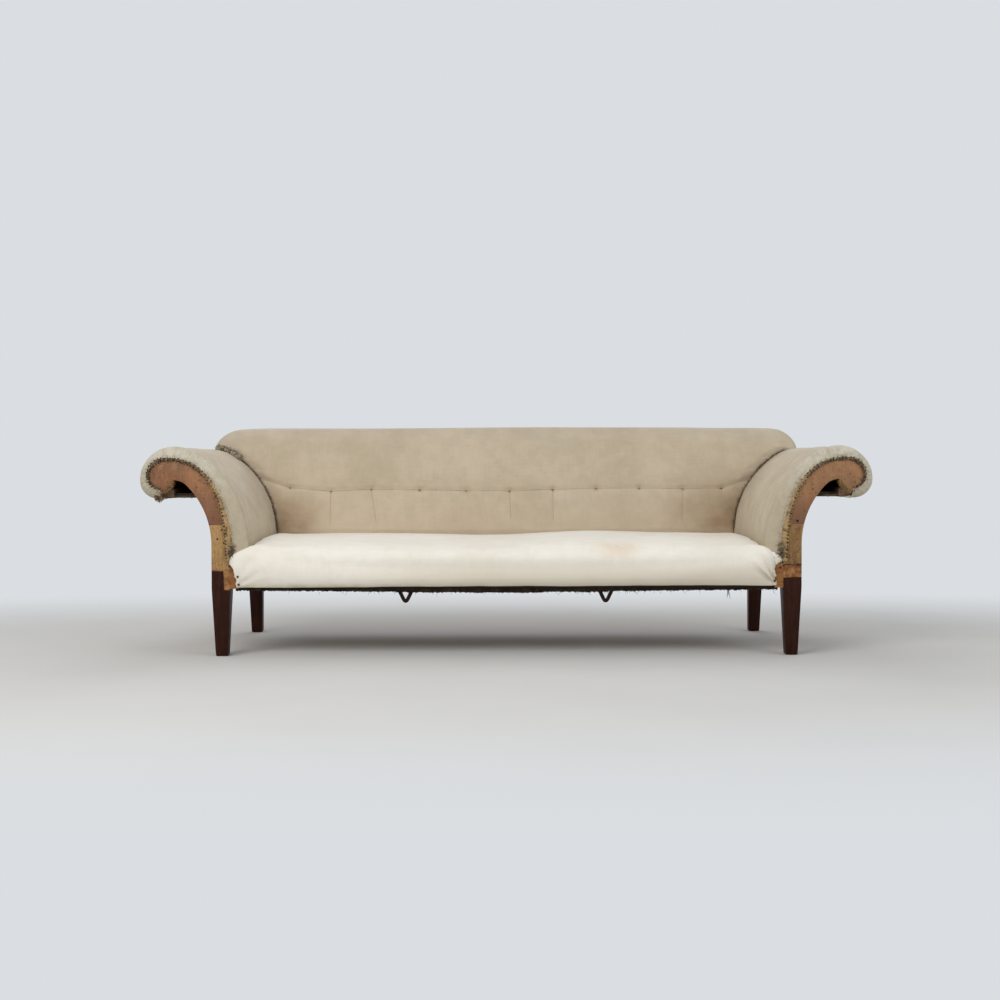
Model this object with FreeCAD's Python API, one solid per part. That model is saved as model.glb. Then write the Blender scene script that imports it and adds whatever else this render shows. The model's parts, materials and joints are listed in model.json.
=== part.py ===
# English roll arm sofa, stripped to its calico: frame, sprung seat, webbed back and arms
# Millimetres. X runs to the viewer's right, Y to the back, Z up; the origin is on the floor
# below the middle of the sofa. Right-hand pieces are modelled first and mirrored to the left.
import FreeCAD, Part
import math
import os

V = FreeCAD.Vector

# Overall sizes
overall_width = 2400.0      # over the calico of both arm rolls
overall_depth = 826.0       # from the swell of the seat edge to the back of the top rail
arm_height = 686.0          # crest of the arm roll
back_height = 768.0         # crest of the back
back_lean = 11.0            # degrees
leg_height = 222.0          # floor to the underside of the seat rails

# Legs and posts
post_width = 60.0
post_depth = 60.0           # at the seat rail
foot_width = 39.0
foot_chamfer = 3.0
roll_overhang = 236.0       # from the outer face of the post to the edge of the roll
joint_height = 430.0        # where the scroll board is dowelled on the post
rear_leg_width = 52.0
rear_foot_spacing = 700.0   # front foot centre to rear foot centre
outer_setback = 4.0         # rear legs and side rails behind the outer face of the post

# Seat rails
rail_height = 78.0
front_rail_thick = 38.0
side_rail_thick = 32.0
tenon_thick = 13.0
tenon_length = 18.0
tenon_shoulder = 10.0
mortise_clearance = 0.15
block_leg = 62.0
block_height = 48.0
stretcher_width = 28.0
stretcher_height = 38.0
stretcher_dish = 14.0
stretcher_offset = 328.0    # from the middle of the sofa

# Scroll boards
board_thick = 45.0
board_cover_side = 16.0     # stuffing outside the head of the scroll
board_cover_top = 34.0      # stuffing over the head of the scroll
head_radii = (62.0, 55.0, 42.0)
neck_inner_start = 395.0    # where the inner edge of the post begins to curve
neck_inner_turn = 42.0      # degrees
neck_under_start = 365.0
neck_under_turn = 44.0
rear_neck_turn = 50.0
rear_board_rise = 80.0
rear_board_dip = 6.0
dowel_diameter = 10.0
dowel_length = 56.0
dowel_spacing = 32.0
dowel_clearance = 0.1

# Arm rails
arm_rail_thick = 30.0
top_rail_width = 70.0
top_rail_drop = 44.0        # crest of the roll to the top of the rail
top_rail_offset = 20.0      # crest line to the middle of the rail, towards the seat
rail_rounding = 9.0
scroll_rail_width = 40.0
scroll_rail_inset = 6.0     # inside the lowest point of the roll
tacking_rail_z = 388.0
under_rail_drop = 8.0       # under rail below the scroll rail
under_rail_reach = 34.0     # its outer face beyond the side rail
under_rail_width = 28.0
lining_bend = 395.0         # where the outside lining leaves the upright plane

# Arm roll in calico
roll_radius = 110.0
roll_under_radius = 59.0
arm_pad_thick = 58.0        # from the inner face of the post to the calico, low on the arm
arm_pad_bottom = 335.0
calico_start = 365.0        # where the inner side of the arm begins to curve
calico_turn = 60.0          # degrees
pad_front_rounding = 12.0
pad_front_setback = 4.0
pad_lip = 4.0               # turned-in edge of the calico beyond the scroll rail
arm_front_bottom = 357.0    # calico of the arm beside the post, just clear of the seat

# Back frame, measured along its lean
back_frame_thick = 40.0
top_rail_height = 44.0
corner_width = 97.0
corner_low = 340.0          # foot of the corner board along the lean
corner_hollow = 62.0        # radius of its inner side
back_half_width = 1103.0    # over the calico of the top corners
back_corner_radius = 85.0
back_cover = 20.0           # stuffing round the edge of the frame
back_pad_thick = 62.0
back_pad_rounding = 34.0
back_pad_bottom = 26.0
back_turnover = 2.0         # calico behind the rear face of the frame
back_edge_chamfer = 8.0
back_tacking_low = 62.0
back_tacking_height = 34.0
back_tacking_thick = 30.0
stile_width = 45.0
stile_offset = 310.0
stile_setback = 6.0

# Seat
seat_swell = 18.0           # calico in front of the rail at the stuffed edge
seat_swell_height = 316.0
seat_front_height = 352.0
seat_roll = 38.0            # depth of the rounded front edge
seat_crown_height = 373.0
seat_back_height = 366.0
seat_lip = 3.2
seat_waist_share = 0.7      # of the swell, halfway up the front
seat_edge_share = 0.35      # of the swell, at the turn of the edge
spring_edge_front = 62.0    # front of the rail to the first lashing line
spring_edge_rear = 50.0
spring_edge_side = 10.0
seat_front_inset = 18.0     # bare end of the front rail beside the calico

# Webbing, springs and cloth
web_width = 50.0
web_thick = 1.8
seat_web_pitch = 108.0
seat_web_rows = 5
arm_web_count = 5
arm_web_front = 40.0        # scroll board to the middle of the first arm web
arm_web_rear = 60.0         # back frame to the middle of the last
arm_web_wrap = 0.6          # share of the top rail that the arm webs cover
rail_web_wrap = 0.4         # share of a seat rail that the seat webs cover
back_web_pitch = 150.0
back_web_level = (190.0, 320.0)
cloth_thick = 1.2
cloth_inset = 10.0          # edge of the spring hessian inside the outer face of a rail
cloth_front_inset = 2.0
lining_thick = 1.5
lining_gap = 5.0            # edge of the linings inside the edge of the frame
spring_pitch = 195.0
spring_rows = (-262.0, -62.0, 138.0)
spring_radius = 42.0
spring_waist = 25.0
spring_height = 101.0
spring_turns = 3
spring_facets = 6
spring_wire = 4.0
tuft_count = 11
tuft_margin = 41.0          # arm calico to the first stitch
tuft_height = 226.0
twine_diameter = 3.0
knot_diameter = 9.0
knot_thick = 3.5

# Bands, hooks and trimmings
band_in = 13.0
band_out = 6.0
band_thick = 2.2
band_bottom = 308.0
patch_top = 428.0
patch_bottom = 300.0
patch_margin = 4.0
hook_width = 44.0
hook_drop = 47.0
hook_bar = 8.0
hook_bar_share = 1.15       # level width of a leaning bar to its thickness
hook_thick = 4.0
hook_setback = 9.0
hook_foot = 12.0
strip_drop = 11.0
strip_setback = 4.0

# Clearances
touch = 0.1                 # faces that bear on each other
soft_gap = 0.3              # round the stuffed pads
past = 1.0                  # how far cutting shapes run past what they cut

# Positions worked out from the sizes
half_width = overall_width / 2
front_y = -overall_depth / 2 + seat_swell
post_outer = half_width - roll_overhang
post_inner = post_outer - post_width
leg_x = (post_outer + post_inner) / 2
front_leg_y = front_y + post_depth / 2
rail_top = leg_height + rail_height
board_back = front_y + board_thick
frame_outer = post_outer - outer_setback
upright_inner = frame_outer - rear_leg_width
lean_cos = math.cos(math.radians(back_lean))
lean_sin = math.sin(math.radians(back_lean))
back_rear = back_frame_thick + back_turnover
pad_round_depth = back_pad_thick - back_pad_rounding
pad_top = (back_height - rail_top - back_pad_rounding - pad_round_depth * lean_sin) / lean_cos \
    + back_pad_rounding
back_y = overall_depth / 2 - back_rear * lean_cos - (pad_top - back_edge_chamfer) * lean_sin
frame_top = pad_top - back_cover
frame_half_width = back_half_width - back_cover
rear_foot_y = front_leg_y + rear_foot_spacing
rear_leg_depth = back_frame_thick / lean_cos
crest_x = half_width - roll_radius
roll_z = arm_height - roll_radius
roll_bottom = roll_z - roll_under_radius
arm_pad_inner = post_inner - arm_pad_thick
scroll_rail_z = roll_bottom + cloth_thick + soft_gap + lining_thick + touch
hole_diameter = dowel_diameter + 2 * dowel_clearance
reach = 4000.0              # longer than the sofa, for cutting tools


def front_point(x, z):
    return V(x, 0, z)


def side_point(y, z):
    return V(0, y, z)


def box(x0, x1, y0, y1, z0, z1):
    return Part.makeBox(x1 - x0, y1 - y0, z1 - z0, V(x0, y0, z0))


def polygon(points):
    return Part.Face(Part.makePolygon(points + points[:1]))


def front_polygon(pairs):
    return polygon([front_point(x, z) for x, z in pairs])


def along_y(face, y0, y1):
    return face.translated(V(0, y0, 0)).extrude(V(0, y1 - y0, 0))


def along_x(face, x0, x1):
    return face.translated(V(x0, 0, 0)).extrude(V(x1 - x0, 0, 0))


def arc(centre_x, centre_z, radius, start, end):
    """An arc in the front view, by its angles in degrees from X towards Z."""
    points = []
    for angle in (start, (start + end) / 2, end):
        turn = math.radians(angle)
        points.append(front_point(centre_x + radius * math.cos(turn), centre_z + radius * math.sin(turn)))
    return Part.Arc(*points).toShape()


def quarter_turn(start, end, turn):
    """Two tangent arcs, upright at the (x, z) start and level at the end; the first turns this far."""
    across = end[0] - start[0]
    rise = end[1] - start[1]
    angle = math.radians(turn)
    sine = math.sin(angle)
    cosine = math.cos(angle)
    second = (across * sine - rise * (1 - cosine)) / (sine + cosine - 1)
    first = (across - second * cosine) / (1 - cosine)
    lower = arc(start[0] + first, start[1], first, 180, 180 - turn)
    upper = arc(end[0], end[1] - second, second, 180 - turn, 90)
    return [lower, upper]


def line(p, q):
    return Part.makeLine(p, q)


def bow(p, middle, q):
    """An arc through three points."""
    return Part.Arc(p, middle, q).toShape()


def rod(radius, length, x, y, z):
    """An eight-sided rod from this point towards the back."""
    corners = []
    for i in range(8):
        turn = math.radians(22.5 + 45 * i)
        corners.append(V(x + radius * math.cos(turn), y, z + radius * math.sin(turn)))
    return polygon(corners).extrude(V(0, length, 0))


def ring(x0, x1, y0, y1, z):
    """The corners of a level rectangle."""
    return [V(x0, y0, z), V(x1, y0, z), V(x1, y1, z), V(x0, y1, z)]


def frustum(low, high):
    """A solid with flat sides between two level rectangles."""
    faces = [polygon(low), polygon(high)]
    for i in range(4):
        j = (i + 1) % 4
        faces.append(polygon([low[i], low[j], high[j], high[i]]))
    return Part.Solid(Part.Shell(faces))


def filled(edges):
    return Part.Face(Part.Wire(Part.__sortEdges__(edges)))


def mirrored(shape):
    return shape.mirror(V(0, 0, 0), V(1, 0, 0))


def group(shapes):
    return Part.Compound(shapes)


def leaned(shape):
    """Puts a shape drawn upright at the origin into the leaning plane of the back frame."""
    placed = shape.copy()
    placed.rotate(V(0, 0, 0), V(1, 0, 0), -back_lean)
    return placed.translated(V(0, back_y, rail_top))


def lean_height(z, depth=0.0):
    """Height along the lean of a point at height z and at this depth in the frame."""
    return (z - rail_top + depth * lean_sin) / lean_cos


def behind_back_plane(depth):
    """Everything behind a plane that lies this far in front of the back frame."""
    return leaned(box(-reach, reach, -depth, reach, -reach, reach))


def chain_offset(points, distance):
    """A row of (x, z) points moved square to its runs, to the left of its direction."""
    runs = []
    for (x0, z0), (x1, z1) in zip(points, points[1:]):
        length = math.hypot(x1 - x0, z1 - z0)
        runs.append(((x1 - x0) / length, (z1 - z0) / length))
    moved = []
    for i, (x, z) in enumerate(points):
        before = runs[max(i - 1, 0)]
        after = runs[min(i, len(runs) - 1)]
        normal = (-before[1] - after[1], before[0] + after[0])
        scale = distance * 2 / (normal[0] ** 2 + normal[1] ** 2)
        moved.append((x + normal[0] * scale, z + normal[1] * scale))
    return moved


def strip_section(points, near, far):
    """The section of a cloth or web that lies along a row of points."""
    return chain_offset(points, near) + chain_offset(points, far)[::-1]


# Legs

def tapered_leg(x, foot_y, top_y, top_width, top_depth):
    """A square leg that tapers to a chamfered foot."""
    def section(width, depth, y, z):
        return ring(x - width / 2, x + width / 2, y - depth / 2, y + depth / 2, z)

    sole = foot_width - 2 * foot_chamfer
    ankle = section(foot_width, foot_width, foot_y, foot_chamfer)
    lower = frustum(section(sole, sole, foot_y, 0), ankle)
    return lower.fuse(frustum(ankle, section(top_width, top_depth, top_y, leg_height)))


def tenon_of_x(x_face, y_mid, z0, z1, extra):
    """A tenon that runs outward through a face of constant x; extra enlarges it to its mortise."""
    y0 = y_mid - tenon_thick / 2 - extra
    y1 = y_mid + tenon_thick / 2 + extra
    return box(x_face - touch, x_face + tenon_length + extra, y0, y1, z0 - extra, z1 + extra)


def tenon_of_y(y_face, outward, x_mid, z0, z1, extra):
    """The same through a face of constant y, towards the front (-1) or the back (1)."""
    x0 = x_mid - tenon_thick / 2 - extra
    x1 = x_mid + tenon_thick / 2 + extra
    y_root = y_face - outward * touch
    y_end = y_face + outward * (tenon_length + extra)
    return box(x0, x1, min(y_root, y_end), max(y_root, y_end), z0 - extra, z1 + extra)


front_rail_y = front_y + front_rail_thick / 2
rear_rail_y = back_y + rear_leg_depth / 2
side_rail_x = frame_outer - side_rail_thick / 2
tenon_low = leg_height + tenon_shoulder
tenon_high = rail_top - tenon_shoulder
post_back = front_y + post_depth


def front_rail_tenon(extra=0.0):
    return tenon_of_x(post_inner, front_rail_y, tenon_low, tenon_high, extra)


def rear_rail_tenon(extra=0.0):
    return tenon_of_x(upright_inner, rear_rail_y, tenon_low, tenon_high, extra)


def side_tenon_front(extra=0.0):
    return tenon_of_y(post_back, -1, side_rail_x, tenon_low, tenon_high, extra)


def side_tenon_rear(extra=0.0):
    return tenon_of_y(back_y, 1, side_rail_x, tenon_low, tenon_high, extra)


def dowel_holes(z0, z1, diameter):
    """Two upright dowels, or their holes, at the joint of post and scroll board."""
    made = []
    for side in (-0.5, 0.5):
        at = V(leg_x + side * dowel_spacing, front_y + board_thick / 2, z0)
        made.append(Part.makeCylinder(diameter / 2, z1 - z0, at))
    return made


def front_leg():
    """Tapered leg and arm post in one length of wood, cut back above the seat rail."""
    leg = tapered_leg(leg_x, front_leg_y, front_leg_y, post_width, post_depth)
    stump = box(post_inner, post_outer, front_y, post_back, leg_height, rail_top)
    post = arm_front(rail_top, joint_height)
    whole = leg.fuse([stump, post]).removeSplitter()
    cuts = [front_rail_tenon(mortise_clearance), side_tenon_front(mortise_clearance)]
    cuts += dowel_holes(joint_height - dowel_length / 2 - past, joint_height, hole_diameter)
    return whole.cut(cuts)


upright_top = frame_top - top_rail_height


def top_tenon(extra=0.0):
    """Tenon on the head of the leaning upright, into the top rail."""
    mid = (frame_outer + upright_inner) / 2
    x0 = mid - tenon_length / 2 - extra
    y0 = (back_frame_thick - tenon_thick) / 2 - extra
    size_x = tenon_length + 2 * extra
    size_y = tenon_thick + 2 * extra
    return leaned(Part.makeBox(size_x, size_y, tenon_length + extra, V(x0, y0, upright_top)))


def back_tacking_tenon(extra=0.0):
    y0 = (back_tacking_thick - tenon_thick) / 2
    z0 = back_tacking_low + tenon_shoulder / 2
    z1 = z0 + back_tacking_height - tenon_shoulder
    return leaned(box(upright_inner - touch, upright_inner + tenon_length + extra, y0 - extra,
                      y0 + tenon_thick + extra, z0 - extra, z1 + extra))


def rear_leg():
    """Raked foot, square seat part and leaning back upright, all in one length of wood."""
    mid = (frame_outer + upright_inner) / 2
    seat_y = back_y + rear_leg_depth / 2
    foot = tapered_leg(mid, rear_foot_y, seat_y, rear_leg_width, rear_leg_depth)
    top_front = side_point(back_y + upright_top * lean_sin, rail_top + upright_top * lean_cos)
    top_rear = top_front + V(0, back_frame_thick * lean_cos, -back_frame_thick * lean_sin)
    side = polygon([side_point(back_y, leg_height), side_point(back_y + rear_leg_depth, leg_height),
                    side_point(back_y + rear_leg_depth, rail_top), top_rear, top_front,
                    side_point(back_y, rail_top)])
    upright = along_x(side, upright_inner, frame_outer)
    whole = foot.fuse(upright).removeSplitter().fuse(top_tenon())
    cuts = [rear_rail_tenon(mortise_clearance), side_tenon_rear(mortise_clearance),
            back_tacking_tenon(mortise_clearance)]
    return whole.cut(cuts)


# Seat rails

def front_seat_rail():
    rail = box(-post_inner + touch, post_inner - touch, front_y, front_y + front_rail_thick,
               leg_height, rail_top)
    tenon = front_rail_tenon()
    return rail.fuse([tenon, mirrored(tenon)])


def rear_seat_rail():
    half = side_rail_thick / 2
    rail = box(-upright_inner + touch, upright_inner - touch, rear_rail_y - half, rear_rail_y + half,
               leg_height, rail_top)
    tenon = rear_rail_tenon()
    return rail.fuse([tenon, mirrored(tenon)])


def side_seat_rail():
    rail = box(frame_outer - side_rail_thick, frame_outer, post_back + touch, back_y - touch,
               leg_height, rail_top)
    return rail.fuse([side_tenon_front(), side_tenon_rear()])


def corner_blocks():
    """Glue blocks in the four corners of the seat frame, cut round the posts."""
    inner_x = frame_outer - side_rail_thick - touch
    z0 = leg_height + (rail_height - block_height) / 2
    blocks = []
    for y_corner, toward in ((post_back + touch, 1), (back_y - touch, -1)):
        points = [V(inner_x, y_corner, z0), V(inner_x - block_leg, y_corner, z0),
                  V(inner_x, y_corner + toward * block_leg, z0)]
        blocks.append(polygon(points).extrude(V(0, 0, block_height)))
    return group(blocks + [mirrored(block) for block in blocks])


def seat_stretchers():
    """Dished rails under the seat, from the front rail to the rear rail."""
    y0 = front_y + front_rail_thick + touch
    y1 = rear_rail_y - side_rail_thick / 2 - touch
    z0 = leg_height
    z1 = leg_height + stretcher_height
    dish = Part.Arc(side_point(y1, z1), side_point((y0 + y1) / 2, z1 - stretcher_dish), side_point(y0, z1))
    edges = [line(side_point(y0, z0), side_point(y1, z0)), line(side_point(y1, z0), side_point(y1, z1)),
             dish.toShape(), line(side_point(y0, z1), side_point(y0, z0))]
    half = stretcher_width / 2
    right = along_x(filled(edges), stretcher_offset - half, stretcher_offset + half)
    return group([right, mirrored(right)])


# Scroll boards

head_x = half_width - board_cover_side - head_radii[0]
head_z = arm_height - board_cover_top - head_radii[0]
head_top = head_z + head_radii[0]
lower_head_x = head_x + head_radii[0] - head_radii[1]
head_bottom = head_z - head_radii[1]
cusp_x = lower_head_x - head_radii[2]
cusp_z = head_bottom + head_radii[2]


def scroll_upper_edges(grow=0.0):
    """The edge that the stuffing covers: up the neck, over the head and round to its underside."""
    neck = quarter_turn((post_inner - grow, neck_inner_start), (head_x, head_top + grow), neck_inner_turn)
    outer = arc(head_x, head_z, head_radii[0] + grow, 90, 0)
    lower = arc(lower_head_x, head_z, head_radii[1] + grow, 0, -90)
    return neck + [outer, lower]


def scroll_under_edges():
    """The bare edge: the inner side of the head, its cusp and the hollow of the neck."""
    volute = arc(lower_head_x, cusp_z, head_radii[2], -90, -180)
    hollow = quarter_turn((post_outer, neck_under_start), (cusp_x, cusp_z), neck_under_turn)
    return [volute] + hollow


def arm_front(z0, z1):
    """Post and scroll as one outline, cut off between two heights."""
    inner_foot = front_point(post_inner, rail_top)
    outer_foot = front_point(post_outer, rail_top)
    edges = [line(inner_foot, front_point(post_inner, neck_inner_start))] + scroll_upper_edges()
    edges += scroll_under_edges()
    edges += [line(front_point(post_outer, neck_under_start), outer_foot), line(outer_foot, inner_foot)]
    slab = along_y(filled(edges), front_y, board_back)
    return slab.common(box(0, half_width, front_y - past, board_back + past, z0, z1))


def scroll_board_front():
    board = arm_front(joint_height + touch, arm_height)
    return board.cut(dowel_holes(joint_height, joint_height + dowel_length / 2 + past, hole_diameter))


def scroll_dowels():
    low = joint_height - dowel_length / 2
    right = dowel_holes(low, low + dowel_length, dowel_diameter)
    return group(right + [mirrored(dowel) for dowel in right])


def scroll_board_rear():
    """The rough board behind the roll, against the outer side of the back upright."""
    start = (frame_outer + touch, lean_height(joint_height))
    top = (head_x, lean_height(head_top))
    low_head = lean_height(head_bottom)
    inner_top = top[1] - rear_board_rise
    neck = quarter_turn((start[0], inner_top), top, rear_neck_turn)
    mid_z = top[1] - head_radii[0]
    outer = arc(head_x, mid_z, head_radii[0], 90, 0)
    radius = mid_z - low_head
    foot_x = head_x + head_radii[0] - radius
    lower = arc(foot_x, mid_z, radius, 0, -90)
    dip = front_point((foot_x + start[0]) / 2, low_head - rear_board_dip)
    under = bow(front_point(foot_x, low_head), dip, front_point(*start))
    side = line(front_point(*start), front_point(start[0], inner_top))
    return leaned(along_y(filled(neck + [outer, lower, under, side]), 0, back_frame_thick))


# Arm rails

def rounded_rail(x0, x1, z0, z1, y0):
    """A rail along the arm with its upper edges rounded, cut off at the leaning back frame."""
    rail = box(x0, x1, y0, reach, z0, z1)
    edges = []
    for edge in rail.Edges:
        along = abs(edge.tangentAt(edge.FirstParameter).y) > 0.9
        if along and edge.Vertexes[0].Z > (z0 + z1) / 2:
            edges.append(edge)
    return rail.makeFillet(rail_rounding, edges).cut(behind_back_plane(touch))


top_rail_x0 = crest_x - top_rail_offset - top_rail_width / 2
top_rail_x1 = top_rail_x0 + top_rail_width
top_rail_z = arm_height - top_rail_drop - arm_rail_thick
scroll_rail_x1 = half_width - roll_under_radius - scroll_rail_inset
scroll_rail_x0 = scroll_rail_x1 - scroll_rail_width
tacking_rail_x0 = upright_inner


def arm_top_rail():
    return rounded_rail(top_rail_x0, top_rail_x1, top_rail_z, top_rail_z + arm_rail_thick, board_back + touch)


def arm_scroll_rail():
    return rounded_rail(scroll_rail_x0, scroll_rail_x1, scroll_rail_z, scroll_rail_z + arm_rail_thick,
                        board_back + touch)


def arm_under_rail():
    high = scroll_rail_z - under_rail_drop
    outer = frame_outer + under_rail_reach
    return box(outer - under_rail_width, outer, board_back + touch, reach, high - under_rail_width,
               high).cut(behind_back_plane(touch))


def arm_tacking_rail():
    return box(tacking_rail_x0, tacking_rail_x0 + arm_rail_thick, board_back + touch, reach, tacking_rail_z,
               tacking_rail_z + arm_rail_thick).cut(behind_back_plane(touch))


# Arm webbing, hessian and stuffing

def arm_line():
    """The row of points on which the arm's webbing and hessian lie, from the seat over the rails."""
    top_z = top_rail_z + arm_rail_thick
    tack_top = tacking_rail_z + arm_rail_thick
    return [(tacking_rail_x0, tacking_rail_z), (tacking_rail_x0, tack_top), (top_rail_x0, top_z),
            (top_rail_x1, top_z), (scroll_rail_x1, scroll_rail_z + arm_rail_thick),
            (scroll_rail_x1, scroll_rail_z)]


def arm_webbing():
    """Upright webs from the tacking rail to the top rail."""
    low, tack_top, top_in, top_out = arm_line()[:4]
    over = (top_in[0] + arm_web_wrap * (top_out[0] - top_in[0]), top_in[1])
    section = front_polygon(strip_section([low, tack_top, top_in, over], touch, touch + web_thick))
    first = board_back + arm_web_front
    last = back_y - arm_web_rear
    step = (last - first) / (arm_web_count - 1)
    return group([along_y(section, first + i * step - web_width / 2, first + i * step + web_width / 2)
                  for i in range(arm_web_count)])


hessian_near = web_thick + 2 * touch
hessian_far = hessian_near + cloth_thick


def arm_hessian():
    section = front_polygon(strip_section(arm_line(), hessian_near, hessian_far))
    return along_y(section, board_back + touch, reach).cut(behind_back_plane(hessian_far + touch))


def calico_edges(clearance=0.0):
    """The calico of the arm in section: up the inner side, over the crest and round the roll."""
    foot = front_point(arm_pad_inner - clearance, arm_pad_bottom)
    inner = quarter_turn((foot.x, calico_start), (crest_x, arm_height + clearance), calico_turn)
    over = arc(crest_x, roll_z, roll_radius + clearance, 90, 0)
    under_x = half_width - roll_under_radius
    under = arc(under_x, roll_z, roll_under_radius + clearance, 0, -90)
    return [line(foot, front_point(foot.x, calico_start))] + inner + [over, under]


def arm_pad():
    inner_line = [front_point(x, z) for x, z in chain_offset(arm_line(), hessian_far + soft_gap)]
    under_x = half_width - roll_under_radius
    lip = front_point(scroll_rail_x0 + pad_lip, roll_bottom)
    lip_top = roll_bottom + cloth_thick
    edges = calico_edges()
    edges.append(line(front_point(under_x, roll_bottom), lip))
    edges.append(line(lip, front_point(lip.x, lip_top)))
    last = inner_line[-1]
    edges.append(line(front_point(lip.x, lip_top), front_point(last.x, lip_top)))
    path = [front_point(last.x, lip_top)] + inner_line[-2::-1]
    foot_z = arm_pad_bottom
    path.append(front_point(inner_line[0].x, foot_z))
    path.append(front_point(arm_pad_inner, foot_z))
    for p, q in zip(path, path[1:]):
        edges.append(line(p, q))
    solid = along_y(filled(edges), front_y + pad_front_setback, reach)
    front_edges = []
    for edge in solid.Edges:
        middle = edge.valueAt((edge.FirstParameter + edge.LastParameter) / 2)
        at_front = abs(middle.y - front_y - pad_front_setback) < touch
        if at_front and edge.Curve.TypeId != "Part::GeomLine":
            front_edges.append(edge)
    solid = solid.makeChamfer(pad_front_rounding, front_edges)
    over_board = scroll_upper_edges(soft_gap)
    start = front_point(post_inner - soft_gap, neck_inner_start)
    under_head = front_point(lower_head_x, head_bottom - soft_gap)
    corner = front_point(post_outer, neck_inner_start)
    board = filled(over_board + [line(under_head, corner), line(corner, start)])
    board_room = along_y(board, front_y - past, board_back + soft_gap)
    post_room = box(arm_pad_inner - past, half_width, front_y - past, board_back + soft_gap, 0,
                    arm_front_bottom)
    post_strip = box(post_inner - soft_gap, half_width, front_y - past, board_back + soft_gap, 0,
                     joint_height)
    cuts = [behind_back_plane(hessian_far + web_thick + soft_gap), board_room, post_room, post_strip]
    return solid.cut(cuts)


def beside_arm():
    """The room that the arm takes in the front view, with its clearance, and all outside it."""
    outline = calico_edges(soft_gap)[:-1]
    low = front_point(arm_pad_inner - soft_gap, -reach)
    side = front_point(reach, roll_z)
    corner = front_point(reach, -reach)
    edges = [line(low, front_point(low.x, arm_pad_bottom))] + outline
    edges += [line(front_point(half_width + soft_gap, roll_z), side), line(side, corner), line(corner, low)]
    return along_y(filled(edges), -reach, reach)


def facing_band():
    """The hessian strip tacked round the front edge of the scroll board and down the post."""
    edges = []
    for grow in (band_out, -band_in):
        x = post_inner - grow
        edges += [line(front_point(x, band_bottom), front_point(x, neck_inner_start))]
        edges += scroll_upper_edges(grow)
    edges.append(line(front_point(lower_head_x, head_bottom - band_out),
                      front_point(lower_head_x, head_bottom + band_in)))
    edges.append(line(front_point(post_inner - band_out, band_bottom),
                      front_point(post_inner + band_in, band_bottom)))
    section = filled(edges)
    y1 = front_y - touch
    return along_y(section, y1 - band_thick, y1)


def post_patch():
    """A scrap of cloth left on the front of the right-hand post."""
    y1 = front_y - touch
    return box(post_inner + band_in + patch_margin, post_outer - patch_margin, y1 - cloth_thick, y1,
               patch_bottom, patch_top)


# Back frame

def back_outline(half, top, radius, bottom):
    """The front view of the back along its lean, with rounded top corners."""
    edges = [line(front_point(-half, bottom), front_point(half, bottom)),
             line(front_point(half, bottom), front_point(half, top - radius)),
             arc(half - radius, top - radius, radius, 0, 90),
             line(front_point(half - radius, top), front_point(radius - half, top)),
             arc(radius - half, top - radius, radius, 90, 180),
             line(front_point(-half, top - radius), front_point(-half, bottom))]
    return filled(edges)


def frame_slab(inset, y0, y1, bottom):
    """The outline of the back frame, drawn in by an inset, between two depths of the frame."""
    radius = back_corner_radius - back_cover - inset
    face = back_outline(frame_half_width - inset, frame_top - inset, radius, bottom)
    return along_y(face, y0, y1)


top_rail_half = frame_half_width - corner_width


def back_top_rail():
    rail = box(-top_rail_half + touch, top_rail_half - touch, 0, back_frame_thick,
               upright_top + touch, frame_top)
    front_top = [edge for edge in rail.Edges
                 if edge.Length > top_rail_half and edge.CenterOfMass.y < touch
                 and edge.CenterOfMass.z > frame_top - touch]
    tenon = top_tenon(mortise_clearance)
    return leaned(rail.makeFillet(rail_rounding, front_top)).cut([tenon, mirrored(tenon)])


def back_tacking_rail():
    rail = leaned(box(-upright_inner + touch, upright_inner - touch, 0, back_tacking_thick,
                      back_tacking_low, back_tacking_low + back_tacking_height))
    tenon = back_tacking_tenon()
    return rail.fuse([tenon, mirrored(tenon)])


def back_stiles():
    """Two uprights between the tacking rail and the top rail."""
    low = back_tacking_low + back_tacking_height + touch
    right = leaned(box(stile_offset - stile_width / 2, stile_offset + stile_width / 2, stile_setback,
                       back_frame_thick - stile_setback, low, upright_top))
    return group([right, mirrored(right)])


def back_corner():
    """The rounded board that carries the top rail down to the rear scroll board."""
    slab = frame_slab(0, 0, back_frame_thick, corner_low)
    keep = box(top_rail_half, reach, -past, back_frame_thick + past, corner_low, frame_top + past)
    at = V(top_rail_half, -past, corner_low)
    hollow = Part.makeCylinder(corner_hollow, back_frame_thick + 2 * past, at, V(0, 1, 0))
    board = leaned(slab.common(keep).cut(hollow))
    lift = V(0, touch * lean_sin, touch * lean_cos)
    return board.cut(scroll_board_rear().translated(lift))


# Back webbing, hessian and stuffing

level_web_front = 2 * (web_thick + touch)
back_hessian_front = level_web_front + touch + cloth_thick


def back_webs_upright():
    count = int((arm_pad_inner - web_width / 2) / back_web_pitch)
    webs = []
    for i in range(-count, count + 1):
        x = i * back_web_pitch
        webs.append(leaned(box(x - web_width / 2, x + web_width / 2, -touch - web_thick, -touch,
                               back_tacking_low + touch, frame_top - rail_rounding)))
    return group(webs)


def back_webs_level():
    half = (upright_inner + frame_outer - arm_rail_thick) / 2
    return group([leaned(box(-half, half, -level_web_front, -level_web_front + web_thick, z, z + web_width))
                  for z in back_web_level])


def back_hessian():
    sheet = leaned(frame_slab(rail_rounding, -back_hessian_front, -back_hessian_front + cloth_thick,
                              back_tacking_low))
    return sheet.cut([beside_arm(), mirrored(beside_arm())])


def tuft_places():
    last = arm_pad_inner - tuft_margin
    return [last * (2 * i / (tuft_count - 1) - 1) for i in range(tuft_count)]


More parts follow.
